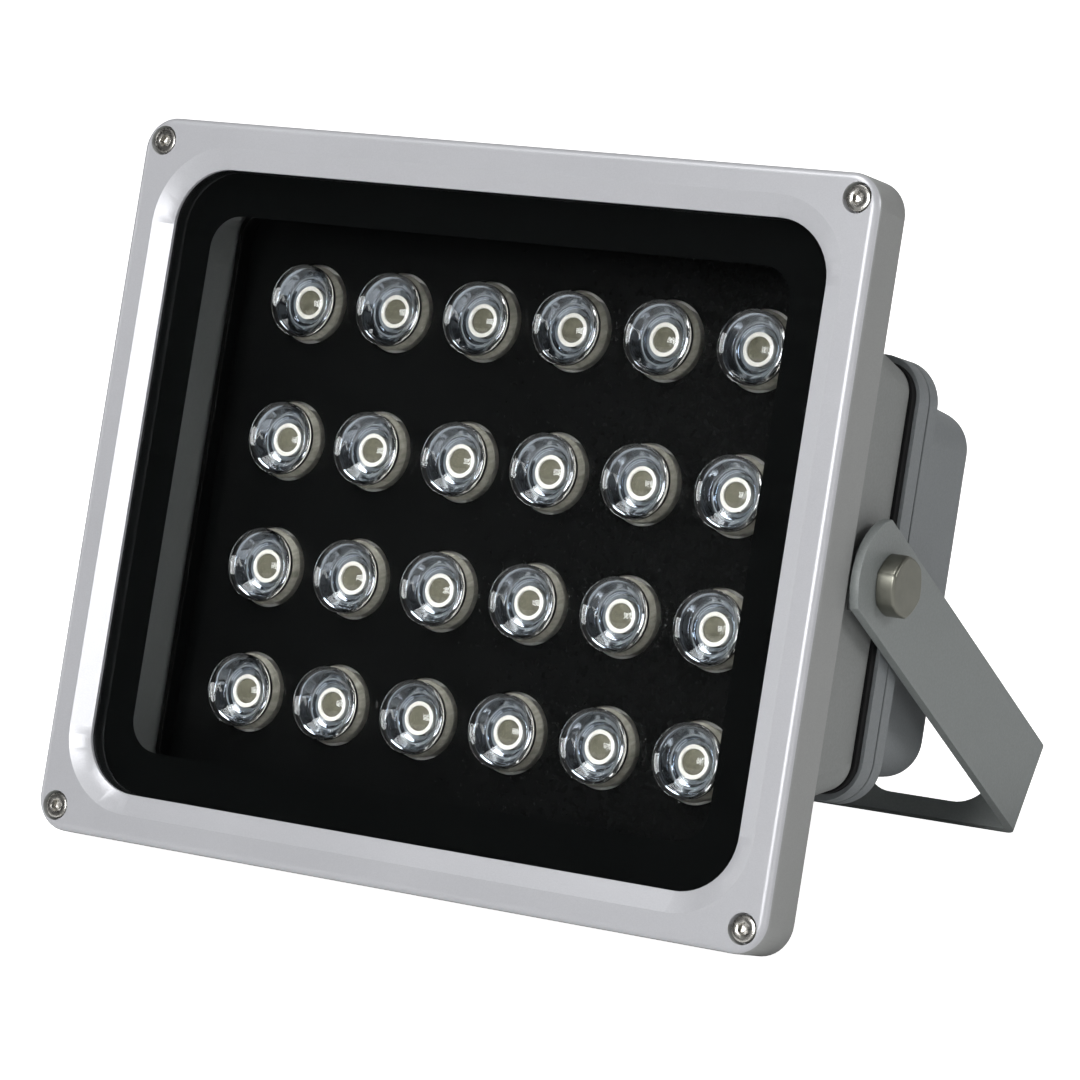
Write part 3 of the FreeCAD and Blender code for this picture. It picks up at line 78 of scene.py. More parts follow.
# A dark patch of the surroundings lies where the flat glass mirrors them, as a black card does.
direction = sky_node("TexCoord")
toward_card = sky_node("VectorMath")
toward_card.operation = "DOT_PRODUCT"
toward_card.inputs[1].default_value = (-0.53, -0.785, 0.326)
fill = sky_node("MapRange", From_Min=0.7, From_Max=0.95, To_Min=0.055, To_Max=0.005)
light_path = sky_node("LightPath")
sky_strength = sky_node("MapRange", To_Max=1.05)
for output, target in (
    (direction.outputs["Generated"], toward_card.inputs[0]),
    (toward_card.outputs["Value"], fill.inputs["Value"]),
    (light_path.outputs["Is Camera Ray"], sky_strength.inputs["Value"]),
    (fill.outputs["Result"], sky_strength.inputs["To Min"]),
    (sky_strength.outputs["Result"], sky.inputs["Strength"]),
):
    world.node_tree.links.new(output, target)


def soft_light(name, place, target, width, height, power):
    data = bpy.data.lights.new(name, "AREA")
    data.shape = "RECTANGLE"
    data.size = width
    data.size_y = height
    data.energy = power
    light = bpy.data.objects.new(name, data)
    light.location = place
    light.rotation_euler = (Vector(target) - Vector(place)).to_track_quat("-Z", "Y").to_euler()
    bpy.context.scene.collection.objects.link(light)


MIDDLE = (0, 0, 0.09)
soft_light("key", (0.08, -1.9, 0.95), MIDDLE, 0.7, 0.7, 23)
soft_light("overhead", (-0.3, -0.45, 1.95), MIDDLE, 1.0, 0.9, 24)
soft_light("left_strip", (-1.75, -0.62, 0.42), MIDDLE, 0.25, 1.1, 3)
soft_light("right_fill", (1.95, 0.45, 0.9), MIDDLE, 0.7, 0.7, 10)
soft_light("right_strip", (1.75, -1.2, 0.5), MIDDLE, 0.2, 1.1, 4.2)


def shader(name, **values):
    """A material and its Principled shader, with constant values set on the shader's own sockets."""
    material = bpy.data.materials.new(name)
    material.use_nodes = True
    principled = material.node_tree.nodes["Principled BSDF"]
    for socket, value in values.items():
        principled.inputs[socket.replace("_", " ")].default_value = value
    return material, principled


def add_node(material, kind, **settings):
    node = material.node_tree.nodes.new("ShaderNode" + kind)
    for key, value in settings.items():
        if hasattr(node, key):
            setattr(node, key, value)
        else:
            node.inputs[key.replace("_", " ")].default_value = value
    return node


def join(material, output, target):
    material.node_tree.links.new(output, target)


def new_piece(name, mesh, body, slot, *materials):
    """A finished piece at the origin: its place is in its mesh, and it rides on a body."""
    mesh.materials.clear()
    for material in materials:
        mesh.materials.append(material)
    piece = bpy.data.objects.new(name, mesh)
    bpy.context.scene.collection.objects.link(piece)
    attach(piece, body)
    return piece


floor_paper, floor_shader = shader("floor_paper", Base_Color=(0.8, 0.8, 0.8, 1), Roughness=0.9)
floor_shader.inputs["Specular IOR Level"].default_value = 0.1
floor_shader.inputs["Emission Color"].default_value = (1, 1, 1, 1)
seen_floor = add_node(floor_paper, "LightPath")
join(floor_paper, seen_floor.outputs["Is Camera Ray"], floor_shader.inputs["Emission Strength"])
sweep = bmesh.new()
rows = [(-3.0, 0), (1.6, 0)]
rows += [(1.6 + 0.9 * math.sin(math.radians(turn)), 0.9 - 0.9 * math.cos(math.radians(turn))) for turn in range(6, 91, 6)]
rows.append((2.5, 3.2))
edges = [[sweep.verts.new((side * 4, back, up)) for side in (-1, 1)] for back, up in rows]
for near, far in zip(edges, edges[1:]):
    sweep.faces.new((near[0], near[1], far[1], far[0]))
floor_mesh = bpy.data.meshes.new("floor")
sweep.to_mesh(floor_mesh)
sweep.free()
floor_mesh.materials.append(floor_paper)
floor = bpy.data.objects.new("floor", floor_mesh)
bpy.context.scene.collection.objects.link(floor)

# Housing.  One aluminium die casting that carries everything: front flange, lamp cavity, cheeks
# with the pivot bosses, and the cooling fins.  It is powder coated in a fine matt grey; inside the
# cavity the grey is darker, which is painted shade of the recess.  The rear flange and the fins
# have the bluer grey of the rear cover.
LEAN = math.radians(19.4366)
PIVOT = Vector(frame["joints"][0]["pos_m"])
# From the lamp's own frame (right, back, up, from the middle of its face) to where it stands.
LAMP = Matrix.Translation(PIVOT) @ Matrix.Rotation(-LEAN, 4, "X") @ Matrix.Translation((0, -30.8 * MM, 1.2 * MM))


def coat_group():
    """Powder coat: a fine grain, a soft unevenness, and a little of a second shade."""
    group = bpy.data.node_groups.new("powder_coat", "ShaderNodeTree")
    face = group.interface
    for name, kind, value in (
        ("Shade", "NodeSocketColor", (0.3, 0.3, 0.3, 1)),
        ("Second Shade", "NodeSocketColor", (0.4, 0.4, 0.4, 1)),
        ("Grain Scale", "NodeSocketFloat", 1800.0),
        ("Low Roughness", "NodeSocketFloat", 0.4),
        ("High Roughness", "NodeSocketFloat", 0.55),
    ):
        face.new_socket(name=name, in_out="INPUT", socket_type=kind).default_value = value
    face.new_socket(name="Color", in_out="OUTPUT", socket_type="NodeSocketColor")
    face.new_socket(name="Roughness", in_out="OUTPUT", socket_type="NodeSocketFloat")
    face.new_socket(name="Height", in_out="OUTPUT", socket_type="NodeSocketFloat")
    nodes, links = group.nodes, group.links
    source = nodes.new("NodeGroupInput")
    result = nodes.new("NodeGroupOutput")
    place = nodes.new("ShaderNodeTexCoord")
    grain = nodes.new("ShaderNodeTexNoise")
    grain.inputs["Detail"].default_value = 3
    grain.inputs["Roughness"].default_value = 0.6
    drift = nodes.new("ShaderNodeTexNoise")
    drift.inputs["Scale"].default_value = 22
    drift.inputs["Detail"].default_value = 4
    links.new(place.outputs["Object"], grain.inputs["Vector"])
    links.new(place.outputs["Object"], drift.inputs["Vector"])
    links.new(source.outputs["Grain Scale"], grain.inputs["Scale"])
    speckle = nodes.new("ShaderNodeMapRange")
    speckle.inputs["From Min"].default_value = 0.38
    speckle.inputs["From Max"].default_value = 0.66
    links.new(grain.outputs["Fac"], speckle.inputs["Value"])
    both = nodes.new("ShaderNodeMath")
    both.operation = "MULTIPLY_ADD"
    both.inputs[1].default_value = 0.45
    links.new(speckle.outputs["Result"], both.inputs[0])
    soft = nodes.new("ShaderNodeMath")
    soft.operation = "MULTIPLY"
    soft.inputs[1].default_value = 0.5
    links.new(drift.outputs["Fac"], soft.inputs[0])
    links.new(soft.outputs["Value"], both.inputs[2])
    shade = nodes.new("ShaderNodeMix")
    shade.data_type = "RGBA"
    links.new(both.outputs["Value"], shade.inputs["Factor"])
    links.new(source.outputs["Shade"], shade.inputs["A"])
    links.new(source.outputs["Second Shade"], shade.inputs["B"])
    links.new(shade.outputs["Result"], result.inputs["Color"])
    rough = nodes.new("ShaderNodeMapRange")
    links.new(drift.outputs["Fac"], rough.inputs["Value"])
    links.new(source.outputs["Low Roughness"], rough.inputs["To Min"])
    links.new(source.outputs["High Roughness"], rough.inputs["To Max"])
    links.new(rough.outputs["Result"], result.inputs["Roughness"])
    links.new(grain.outputs["Fac"], result.inputs["Height"])
    return group


POWDER = coat_group()


def coated(name, shade, second, low, high, grain_scale, depth, **values):
    """A powder-coated finish."""
    material, principled = shader(name, **values)
    coat = add_node(material, "Group")
    coat.node_tree = POWDER
    coat.inputs["Shade"].default_value = (*shade, 1)
    coat.inputs["Second Shade"].default_value = (*second, 1)
    coat.inputs["Low Roughness"].default_value = low
    coat.inputs["High Roughness"].default_value = high
    coat.inputs["Grain Scale"].default_value = grain_scale
    bump = add_node(material, "Bump", Strength=0.6, Distance=depth)
    join(material, coat.outputs["Color"], principled.inputs["Base Color"])
    join(material, coat.outputs["Roughness"], principled.inputs["Roughness"])
    join(material, coat.outputs["Height"], bump.inputs["Height"])
    join(material, bump.outputs["Normal"], principled.inputs["Normal"])
    return material


def eased_copy(node, edge_round, sharp=28):
    """A copy of a CAD node with its triangles merged and its sharp edges rounded."""
    work = bmesh.new()
    work.from_mesh(frame["nodes"][node].data)
    bmesh.ops.remove_doubles(work, verts=work.verts, dist=1e-6)
    bmesh.ops.dissolve_limit(
        work, angle_limit=math.radians(0.6), use_dissolve_boundaries=False, verts=work.verts, edges=work.edges
    )
    mesh = bpy.data.meshes.new(node)
    work.to_mesh(mesh)
    work.free()
    holder = bpy.data.objects.new(node + "_work", mesh)
    bpy.context.scene.collection.objects.link(holder)
    ease = holder.modifiers.new("ease", "BEVEL")
    ease.width = edge_round
    ease.segments = 2
    ease.limit_method = "ANGLE"
    ease.angle_limit = math.radians(sharp)
    ease.use_clamp_overlap = True
    ease.harden_normals = True
    return finished(holder)


def finished(holder):
    """The plain mesh that an object's modifiers give; the object itself goes."""
    bpy.context.view_layer.update()
    evaluated = holder.evaluated_get(bpy.context.evaluated_depsgraph_get())
    result = bpy.data.meshes.new_from_object(evaluated)
    old = holder.data
    bpy.data.objects.remove(holder)
    if old.users == 0:
        if isinstance(old, bpy.types.Mesh):
            bpy.data.meshes.remove(old)
        else:
            bpy.data.curves.remove(old)
    return result


def smooth_by_angle(mesh, degrees=30):
    mesh.shade_smooth()
    mesh.set_sharp_from_angle(angle=math.radians(degrees))


housing_grey = coated(
    "housing_powder_coat", (0.215, 0.224, 0.219), (0.265, 0.274, 0.268), 0.42, 0.56, 1500, 0.00012
)
# The darker coat inside the cavity is painted shade: the recess is darkened in its colour.
cavity_painted_shade = coated("cavity_painted_shade_coat", (0.135, 0.142, 0.141), (0.17, 0.177, 0.176), 0.42, 0.56, 1500, 0.00012)
cover_grey = coated(
    "cover_powder_coat", (0.178, 0.193, 0.20), (0.222, 0.237, 0.246), 0.42, 0.56, 1500, 0.00012
)
CAVITY_REACH = Vector((97 * MM, 37.5 * MM, 81 * MM))
REAR_FLANGE_DEPTH = 38.4 * MM
housing_mesh = eased_copy("main_housing", 0.35 * MM)
housing = new_piece("housing", housing_mesh, "lamp_head", "housing_coat", housing_grey, cavity_painted_shade, cover_grey)
to_lamp = LAMP.inverted()
# Faces inside the cavity take the painted shade; faces behind the rear flange take the cover's bluer grey.
for face in housing_mesh.polygons:
    spot = to_lamp @ face.center
    in_shaded_cavity = all(abs(spot[axis]) < CAVITY_REACH[axis] for axis in range(3))
    if spot.y > REAR_FLANGE_DEPTH:
        face.material_index = 2
    elif in_shaded_cavity and spot.y > 7 * MM:
        face.material_index = 1
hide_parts("main_housing")

# LED board and its screws.  A white-masked aluminium board, held on the housing floor by ten
# small socket screws; it is hidden behind the black plate except through the lens holes.
def plain_finish(name, shade, roughness, scale, spread=0.12, **values):
    """A moulded or painted surface with a slight drift in shade and gloss."""
    material, principled = shader(name, **values)
    place = add_node(material, "TexCoord")
    drift = add_node(material, "TexNoise", Scale=scale, Detail=3.0)
    join(material, place.outputs["Object"], drift.inputs["Vector"])
    tint = add_node(material, "Mix", data_type="RGBA")
    tint.inputs["A"].default_value = (*[part * (1 - spread) for part in shade], 1)
    tint.inputs["B"].default_value = (*[min(part * (1 + spread), 1) for part in shade], 1)
    join(material, drift.outputs["Fac"], tint.inputs["Factor"])
    join(material, tint.outputs["Result"], principled.inputs["Base Color"])
    gloss = add_node(material, "MapRange", To_Min=roughness * 0.85, To_Max=roughness * 1.15)
    join(material, drift.outputs["Fac"], gloss.inputs["Value"])
    join(material, gloss.outputs["Result"], principled.inputs["Roughness"])
    bump = add_node(material, "Bump", Strength=0.3, Distance=0.00004)
    join(material, drift.outputs["Fac"], bump.inputs["Height"])
    join(material, bump.outputs["Normal"], principled.inputs["Normal"])
    return material


def dress(material, *nodes):
    """CAD nodes whose shape is right keep it and get this finish."""
    for node in nodes:
        slots = frame["nodes"][node].data.materials
        slots.clear()
        slots.append(material)


dress(plain_finish("board_white", (0.78, 0.78, 0.75), 0.4, 400), "led_board")
screw_steel = plain_finish("screw_steel", (0.60, 0.585, 0.55), 0.27, 900, Metallic=1.0)
dress(screw_steel, "board_screws", "driver_screws", "terminal_screws")

# Emitters.  White ceramic squares with a yellow-grey phosphor chip under a clear dome, soldered
# to the board under each lens.
COLUMN_PITCH = 27.87 * MM
ROW_HEIGHTS = [height * MM for height in (53.7, 16.2, -18.3, -52.3)]
LENS_POINTS = [(COLUMN_PITCH * (column - 2.5), 0, height) for height in ROW_HEIGHTS for column in range(6)]


def lathe(profile, steps=48):
    """Turns a half section of (radius, depth) about the lamp's front-to-back axis."""
    work = bmesh.new()
    rings = []
    for radius, depth in profile:
        if radius < 1e-9:
            rings.append([work.verts.new((0, depth, 0))])
            continue
        rings.append(
            [
                work.verts.new(
                    (radius * math.cos(math.tau * step / steps), depth, radius * math.sin(math.tau * step / steps))
                )
                for step in range(steps)
            ]
        )
    for near, far in zip(rings, rings[1:]):
        for step in range(steps):
            after = (step + 1) % steps
            corners = [near[step % len(near)], near[after % len(near)], far[after % len(far)], far[step % len(far)]]
            face = list(dict.fromkeys(corners))
            if len(face) > 2:
                work.faces.new(face)
    bmesh.ops.recalc_face_normals(work, faces=work.faces)
    mesh = bpy.data.meshes.new("turned")
    work.to_mesh(mesh)
    work.free()
    smooth_by_angle(mesh)
    return mesh


def repeat_tree():
    """Geometry Nodes: one copy of a piece on each point, each turned a little, all one mesh."""
    tree = bpy.data.node_groups.new("set_out", "GeometryNodeTree")
    face = tree.interface
    face.new_socket(name="Points", in_out="INPUT", socket_type="NodeSocketGeometry")
    face.new_socket(name="Piece", in_out="INPUT", socket_type="NodeSocketObject")
    face.new_socket(name="Depth", in_out="INPUT", socket_type="NodeSocketFloat")
    face.new_socket(name="Most Turn", in_out="INPUT", socket_type="NodeSocketFloat")
    face.new_socket(name="Seed", in_out="INPUT", socket_type="NodeSocketInt")
    face.new_socket(name="Material", in_out="INPUT", socket_type="NodeSocketMaterial")
    face.new_socket(name="Mesh", in_out="OUTPUT", socket_type="NodeSocketGeometry")
    nodes, links = tree.nodes, tree.links
    source = nodes.new("NodeGroupInput")
    result = nodes.new("NodeGroupOutput")
    shift = nodes.new("ShaderNodeCombineXYZ")
    links.new(source.outputs["Depth"], shift.inputs["Y"])
    move = nodes.new("GeometryNodeSetPosition")
    links.new(source.outputs["Points"], move.inputs["Geometry"])
    links.new(shift.outputs["Vector"], move.inputs["Offset"])
    piece = nodes.new("GeometryNodeObjectInfo")
    links.new(source.outputs["Piece"], piece.inputs["Object"])
    chance = nodes.new("FunctionNodeRandomValue")
    chance.data_type = "FLOAT"
    links.new(source.outputs["Most Turn"], chance.inputs["Max"])
    links.new(source.outputs["Seed"], chance.inputs["Seed"])
    turn = nodes.new("ShaderNodeCombineXYZ")
    links.new(chance.outputs["Value"], turn.inputs["Y"])
    copies = nodes.new("GeometryNodeInstanceOnPoints")
    links.new(move.outputs["Geometry"], copies.inputs["Points"])
    links.new(piece.outputs["Geometry"], copies.inputs["Instance"])
    links.new(turn.outputs["Vector"], copies.inputs["Rotation"])
    real = nodes.new("GeometryNodeRealizeInstances")
    links.new(copies.outputs["Instances"], real.inputs["Geometry"])
    paint = nodes.new("GeometryNodeSetMaterial")
    links.new(real.outputs["Geometry"], paint.inputs["Geometry"])
    links.new(source.outputs["Material"], paint.inputs["Material"])
    links.new(paint.outputs["Geometry"], result.inputs["Mesh"])
    return tree


SET_OUT = repeat_tree()


def set_out(mesh, points, depth, material, most_turn=0.0, seed=1, place=LAMP):
    """Copies of a mesh on points of the lamp's face, at one depth, joined and put in place."""
    master = bpy.data.objects.new("master", mesh)
    bpy.context.scene.collection.objects.link(master)
    cloud = bpy.data.meshes.new("points")
    cloud.from_pydata(points, [], [])
    holder = bpy.data.objects.new("holder", cloud)
    bpy.context.scene.collection.objects.link(holder)
    repeat = holder.modifiers.new("repeat", "NODES")
    repeat.node_group = SET_OUT
    values = {"Piece": master, "Depth": depth, "Most Turn": most_turn, "Seed": seed, "Material": material}
    for item in SET_OUT.interface.items_tree:
        if item.in_out == "INPUT" and item.name in values:
            repeat[item.identifier] = values[item.name]
    result = finished(holder)
    bpy.data.objects.remove(master)
    result.transform(place)
    return result


BOARD_DEPTH = 36.4 * MM
emitter_profile = [
    (0, -6.3), (3.1, -6.3), (3.2, -6.9), (3.45, -7.1), (4.35, -6.95), (4.55, -6.7), (4.58, -6.2), (4.4, -5.6),
    (4.3, -0.9), (4.6, -0.7), (4.6, 0), (0, 0),
]
emitter_ceramic = plain_finish("emitter_ceramic", (0.76, 0.74, 0.68), 0.3, 900, spread=0.1)
emitter_ceramic.node_tree.nodes["Principled BSDF"].inputs["Coat Weight"].default_value = 0.4


def in_metres(profile):
    return [(radius * MM, depth * MM) for radius, depth in profile]


emitters = new_piece(
    "emitters", set_out(lathe(in_metres(emitter_profile)), LENS_POINTS, BOARD_DEPTH, emitter_ceramic), "lamp_head",
    "emitter_white", emitter_ceramic,
)
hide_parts("led_emitters")

# Phosphor chips.  The olive-grey spot in the middle of each emitter, under the silicone dome.
chip_olive = plain_finish("chip_olive", (0.11, 0.105, 0.075), 0.22, 1100, spread=0.45)
chip_profile = [(0, -7.2), (1.4, -7.1), (2.5, -6.85), (3.13, -6.4), (3.13, -6.2), (0, -6.2)]
chips = new_piece(
    "emitter_chips", set_out(lathe(in_metres(chip_profile)), LENS_POINTS, BOARD_DEPTH, chip_olive), "lamp_head",
    "emitter_white", chip_olive,
)

# Lens holders.  Moulded cups of grey-beige plastic that stand on the board and centre each lens;
# the draw marks of the mould run faintly down their sides.
holder_beige, holder_shader = shader("holder_beige", Roughness=0.38)
place = add_node(holder_beige, "TexCoord")
stretch = add_node(holder_beige, "Mapping")
stretch.inputs["Rotation"].default_value = (LEAN, 0, 0)
stretch.inputs["Scale"].default_value = (900, 40, 900)
streaks = add_node(holder_beige, "TexNoise", Scale=1.0, Detail=1.0)
join(holder_beige, place.outputs["Object"], stretch.inputs["Vector"])
join(holder_beige, stretch.outputs["Vector"], streaks.inputs["Vector"])
beige = add_node(holder_beige, "ValToRGB")
beige.color_ramp.elements[0].position = 0.3
beige.color_ramp.elements[0].color = (0.20, 0.195, 0.165, 1)
beige.color_ramp.elements[1].position = 0.7
beige.color_ramp.elements[1].color = (0.33, 0.32, 0.275, 1)
join(holder_beige, streaks.outputs["Fac"], beige.inputs["Fac"])
join(holder_beige, beige.outputs["Color"], holder_shader.inputs["Base Color"])
flute = add_node(holder_beige, "Bump", Strength=0.2, Distance=0.00005)
join(holder_beige, streaks.outputs["Fac"], flute.inputs["Height"])
join(holder_beige, flute.outputs["Normal"], holder_shader.inputs["Normal"])
holder_profile = [
    (4.7, 0), (4.7, -0.9), (8.75, -0.9), (9.0, -1.2), (9.1, -5.0), (9.3, -9.1), (9.4, -9.3), (9.55, -9.35),
    (9.7, -9.15), (10.3, -6.75), (10.3, -6.6), (10.15, -6.45), (9.5, -6.3), (9.4, -6.0), (9.4, 0), (4.7, 0),
]
holders = new_piece(
    "lens_holders_moulded", set_out(lathe(in_metres(holder_profile), 72), LENS_POINTS, BOARD_DEPTH, holder_beige),
    "lamp_head", "holder_grey", holder_beige,
)
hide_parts("lens_holders")

# Lens reflectors.  The curved back of each lens throws the light forward; it is seen from the
# front as a bright silvery cone, stepped once half way down.
reflector_silver, silver_shader = shader("reflector_silver", Metallic=1.0, Base_Color=(0.51, 0.555, 0.61, 1))
place = add_node(reflector_silver, "TexCoord")
haze = add_node(reflector_silver, "TexNoise", Scale=320.0, Detail=2.0)
join(reflector_silver, place.outputs["Object"], haze.inputs["Vector"])
polish = add_node(reflector_silver, "MapRange", To_Min=0.03, To_Max=0.12)
join(reflector_silver, haze.outputs["Fac"], polish.inputs["Value"])
join(reflector_silver, polish.outputs["Result"], silver_shader.inputs["Roughness"])
warp = add_node(reflector_silver, "Bump", Strength=0.25, Distance=0.0001)
join(reflector_silver, haze.outputs["Fac"], warp.inputs["Height"])
join(reflector_silver, warp.outputs["Normal"], silver_shader.inputs["Normal"])
LENS_SEAT_DEPTH = 26.1 * MM
reflector_profile = [
    (9.1, 0.15), (9.0, 0.1), (8.8, 0.25), (8.5, 0.9), (8.1, 1.6), (7.6, 2.4), (7.05, 3.1), (6.9, 3.5), (6.75, 3.95),
    (6.5, 4.1), (6.2, 3.95), (5.95, 4.1), (5.75, 4.6), (5.4, 5.2), (5.1, 5.4), (4.9, 5.9), (4.75, 6.5),
    (4.75, 6.8), (5.0, 6.8), (6.6, 5.0), (7.9, 2.9), (9.0, 0.6),
]
reflectors = new_piece(
    "lens_reflectors", set_out(lathe(in_metres(reflector_profile), 72), LENS_POINTS, LENS_SEAT_DEPTH, reflector_silver),
    "lamp_head", "lens_clear", reflector_silver,
)

# Lens seats.  A thin black ring on the lip of each holder, on which the rim of the lens rests; its black is painted
# shade for the gap under the lens rim.
# The black of these rings is painted shade under the lens rims.
lens_rim_painted_shade = plain_finish("lens_rim_painted_shade", (0.004, 0.004, 0.004), 0.6, 800, spread=0.3, Specular_IOR_Level=0.1)
seat_profile = [(9.15, 0.85), (9.15, 0.35), (9.25, 0.3), (9.7, 0.3), (9.78, 0.4), (9.78, 0.75), (9.7, 0.85), (9.15, 0.85)]
rim_shade_rings = new_piece(
    "lens_seats", set_out(lathe(in_metres(seat_profile), 72), LENS_POINTS, LENS_SEAT_DEPTH, lens_rim_painted_shade), "lamp_head",
    "holder_grey", lens_rim_painted_shade,
)

# Lenses.  Clear acrylic, moulded in one shot: a thin flat rim, a dished front and a domed eye in
# the middle over the emitter.
clear_acrylic, acrylic_shader = shader(
    "clear_acrylic", Base_Color=(0.97, 0.98, 1, 1), Roughness=0.01, IOR=1.49, Transmission_Weight=1.0
)
place = add_node(clear_acrylic, "TexCoord")
ripple = add_node(clear_acrylic, "TexNoise", Scale=260.0, Detail=1.0)
ripples = add_node(clear_acrylic, "Bump", Strength=0.1, Distance=0.0001)
join(clear_acrylic, place.outputs["Object"], ripple.inputs["Vector"])
join(clear_acrylic, ripple.outputs["Fac"], ripples.inputs["Height"])
join(clear_acrylic, ripples.outputs["Normal"], acrylic_shader.inputs["Normal"])


def let_lamps_through(material, principled, share):
    """Rays from the lamps pass straight through, so that what lies behind the glass is lit."""
    path = add_node(material, "LightPath")
    clear = add_node(material, "BsdfTransparent")
    clear.inputs["Color"].default_value = (share, share, share, 1)
    either = add_node(material, "MixShader")
    join(material, path.outputs["Is Shadow Ray"], either.inputs["Fac"])
    join(material, principled.outputs["BSDF"], either.inputs[1])
    join(material, clear.outputs["BSDF"], either.inputs[2])
    join(material, either.outputs["Shader"], material.node_tree.nodes["Material Output"].inputs["Surface"])


let_lamps_through(clear_acrylic, acrylic_shader, 0.97)
lens_profile = [
    (0, 1.5), (1.6, 1.6), (3.0, 1.95), (4.1, 2.55), (4.5, 2.6), (6.0, 1.6), (7.4, 0.2), (8.3, -0.8), (8.7, -1.1),
    (9.1, -1.2), (9.6, -1.2), (9.78, -1.1), (9.85, -0.9), (9.85, -0.35), (9.75, -0.15), (9.2, -0.05), (8.3, 0.4),
    (6.4, 2.4), (4.6, 3.4), (0, 2.7),
]
lenses = new_piece(
    "lenses_moulded", set_out(lathe(in_metres(lens_profile), 72), LENS_POINTS, LENS_SEAT_DEPTH, clear_acrylic),
    "lamp_head", "lens_clear", clear_acrylic,
)
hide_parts("lenses")

# Cover plate.  A shallow black tray over the board with a hole round each lens, lying on a ledge
# of the housing and lacquered black; its rim stands up along the walls of the lamp cavity.
PLATE_WIDTH = 188.0 * MM
PLATE_HEIGHT = 155.0 * MM
PLATE_CORNER = 7.0 * MM
LENS_HOLE = 11.2 * MM
PLATE_DEPTH = 30.6 * MM
PLATE_THICKNESS = 1.5 * MM


def rounded_ring(width, height, radius, steps=10):
    """Points of a rounded rectangle, anticlockwise seen from the front."""
    points = []
    for quarter, (side, end) in enumerate(((1, 1), (-1, 1), (-1, -1), (1, -1))):
        for step in range(steps + 1):
            turn = math.radians(90 * (quarter + step / steps))
            points.append(
                (
                    side * (width / 2 - radius) + radius * math.cos(turn),
                    end * (height / 2 - radius) + radius * math.sin(turn),
                )
            )
    return points


def cut_sheet(outline, openings, thickness, ease):
    """A flat sheet with openings, from a filled curve, with eased edges; its front is at depth 0."""
    curve = bpy.data.curves.new("sheet", "CURVE")
    curve.dimensions = "2D"
    curve.fill_mode = "BOTH"
    curve.extrude = thickness / 2 - ease
    curve.bevel_depth = ease
    curve.bevel_resolution = 2
    for ring in [outline, *openings]:
        spline = curve.splines.new("POLY")
        spline.points.add(len(ring) - 1)
        for point, (across, up) in zip(spline.points, ring):
            point.co = (across, up, 0, 1)
        spline.use_cyclic_u = True
    holder = bpy.data.objects.new("sheet", curve)
    bpy.context.scene.collection.objects.link(holder)
    mesh = finished(holder)
    # The sheet is drawn lying down: stand it up so that it faces the front.
    mesh.transform(Matrix.Translation((0, thickness / 2, 0)) @ Matrix.Rotation(math.radians(90), 4, "X"))
    work = bmesh.new()
    work.from_mesh(mesh)
    bmesh.ops.remove_doubles(work, verts=work.verts, dist=1e-6)
    bmesh.ops.recalc_face_normals(work, faces=work.faces)
    work.to_mesh(mesh)
    work.free()
    smooth_by_angle(mesh)
    for face in mesh.polygons:
        face.use_smooth = abs(face.normal.y) < 0.999
    return mesh


def circle(centre, radius, steps=64):
    return [
        (centre[0] + radius * math.cos(math.tau * step / steps), centre[1] + radius * math.sin(math.tau * step / steps))
        for step in range(steps)
    ]


def joined(name, meshes):
    """One mesh that holds several; the others go."""
    work = bmesh.new()
    for mesh in meshes:
        work.from_mesh(mesh)
        bpy.data.meshes.remove(mesh)
    result = bpy.data.meshes.new(name)
    work.to_mesh(result)
    work.free()
    return result


plate_black = plain_finish(
    "plate_black", (0.0011, 0.0014, 0.0014), 0.5, 700, spread=0.3,
    Specular_IOR_Level=0.04, Coat_Weight=0.35, Coat_Roughness=0.06,
)
plate_mesh = cut_sheet(
    rounded_ring(PLATE_WIDTH, PLATE_HEIGHT, PLATE_CORNER),
    [circle((across, up), LENS_HOLE) for across, depth, up in LENS_POINTS],
    PLATE_THICKNESS,
    0.35 * MM,
)
plate_mesh.transform(LAMP @ Matrix.Translation((0, PLATE_DEPTH, 0)))
RIM_HIGH = 5.5 * MM
RIM_WALL = 1.0 * MM
rim_mesh = cut_sheet(
    rounded_ring(PLATE_WIDTH, PLATE_HEIGHT, PLATE_CORNER),
    [rounded_ring(PLATE_WIDTH - 2 * RIM_WALL, PLATE_HEIGHT - 2 * RIM_WALL, PLATE_CORNER - RIM_WALL)],
    RIM_HIGH,
    0.3 * MM,
)
rim_mesh.transform(LAMP @ Matrix.Translation((0, PLATE_DEPTH - RIM_HIGH + PLATE_THICKNESS / 2, 0)))
plate_mesh = joined("plate", [plate_mesh, rim_mesh])
plate = new_piece("cover_plate", plate_mesh, "lamp_head", "plate_black", plate_black)
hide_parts("lens_cover_plate")

# Front glass, its black print and its seal.  Clear toughened glass 3.2 mm thick with ground edges,
# a gloss black ceramic border fired on its back, and a silicone seal between it and the housing.
clear_glass, glass_shader = shader(
    "clear_glass", Base_Color=(0.985, 0.995, 0.99, 1), Roughness=0.0, IOR=1.5, Transmission_Weight=1.0
)
place = add_node(clear_glass, "TexCoord")
wave = add_node(clear_glass, "TexNoise", Scale=9.0, Detail=0.0)
waves = add_node(clear_glass, "Bump", Strength=0.05, Distance=0.0002)
join(clear_glass, place.outputs["Object"], wave.inputs["Vector"])
join(clear_glass, wave.outputs["Fac"], waves.inputs["Height"])
join(clear_glass, waves.outputs["Normal"], glass_shader.inputs["Normal"])
let_lamps_through(clear_glass, glass_shader, 0.92)
GLASS_WIDTH = 207.8 * MM
GLASS_HEIGHT = 176.8 * MM
GLASS_CORNER = 20 * MM
GLASS_DEPTH = 3.4 * MM
GLASS_THICKNESS = 3.2 * MM
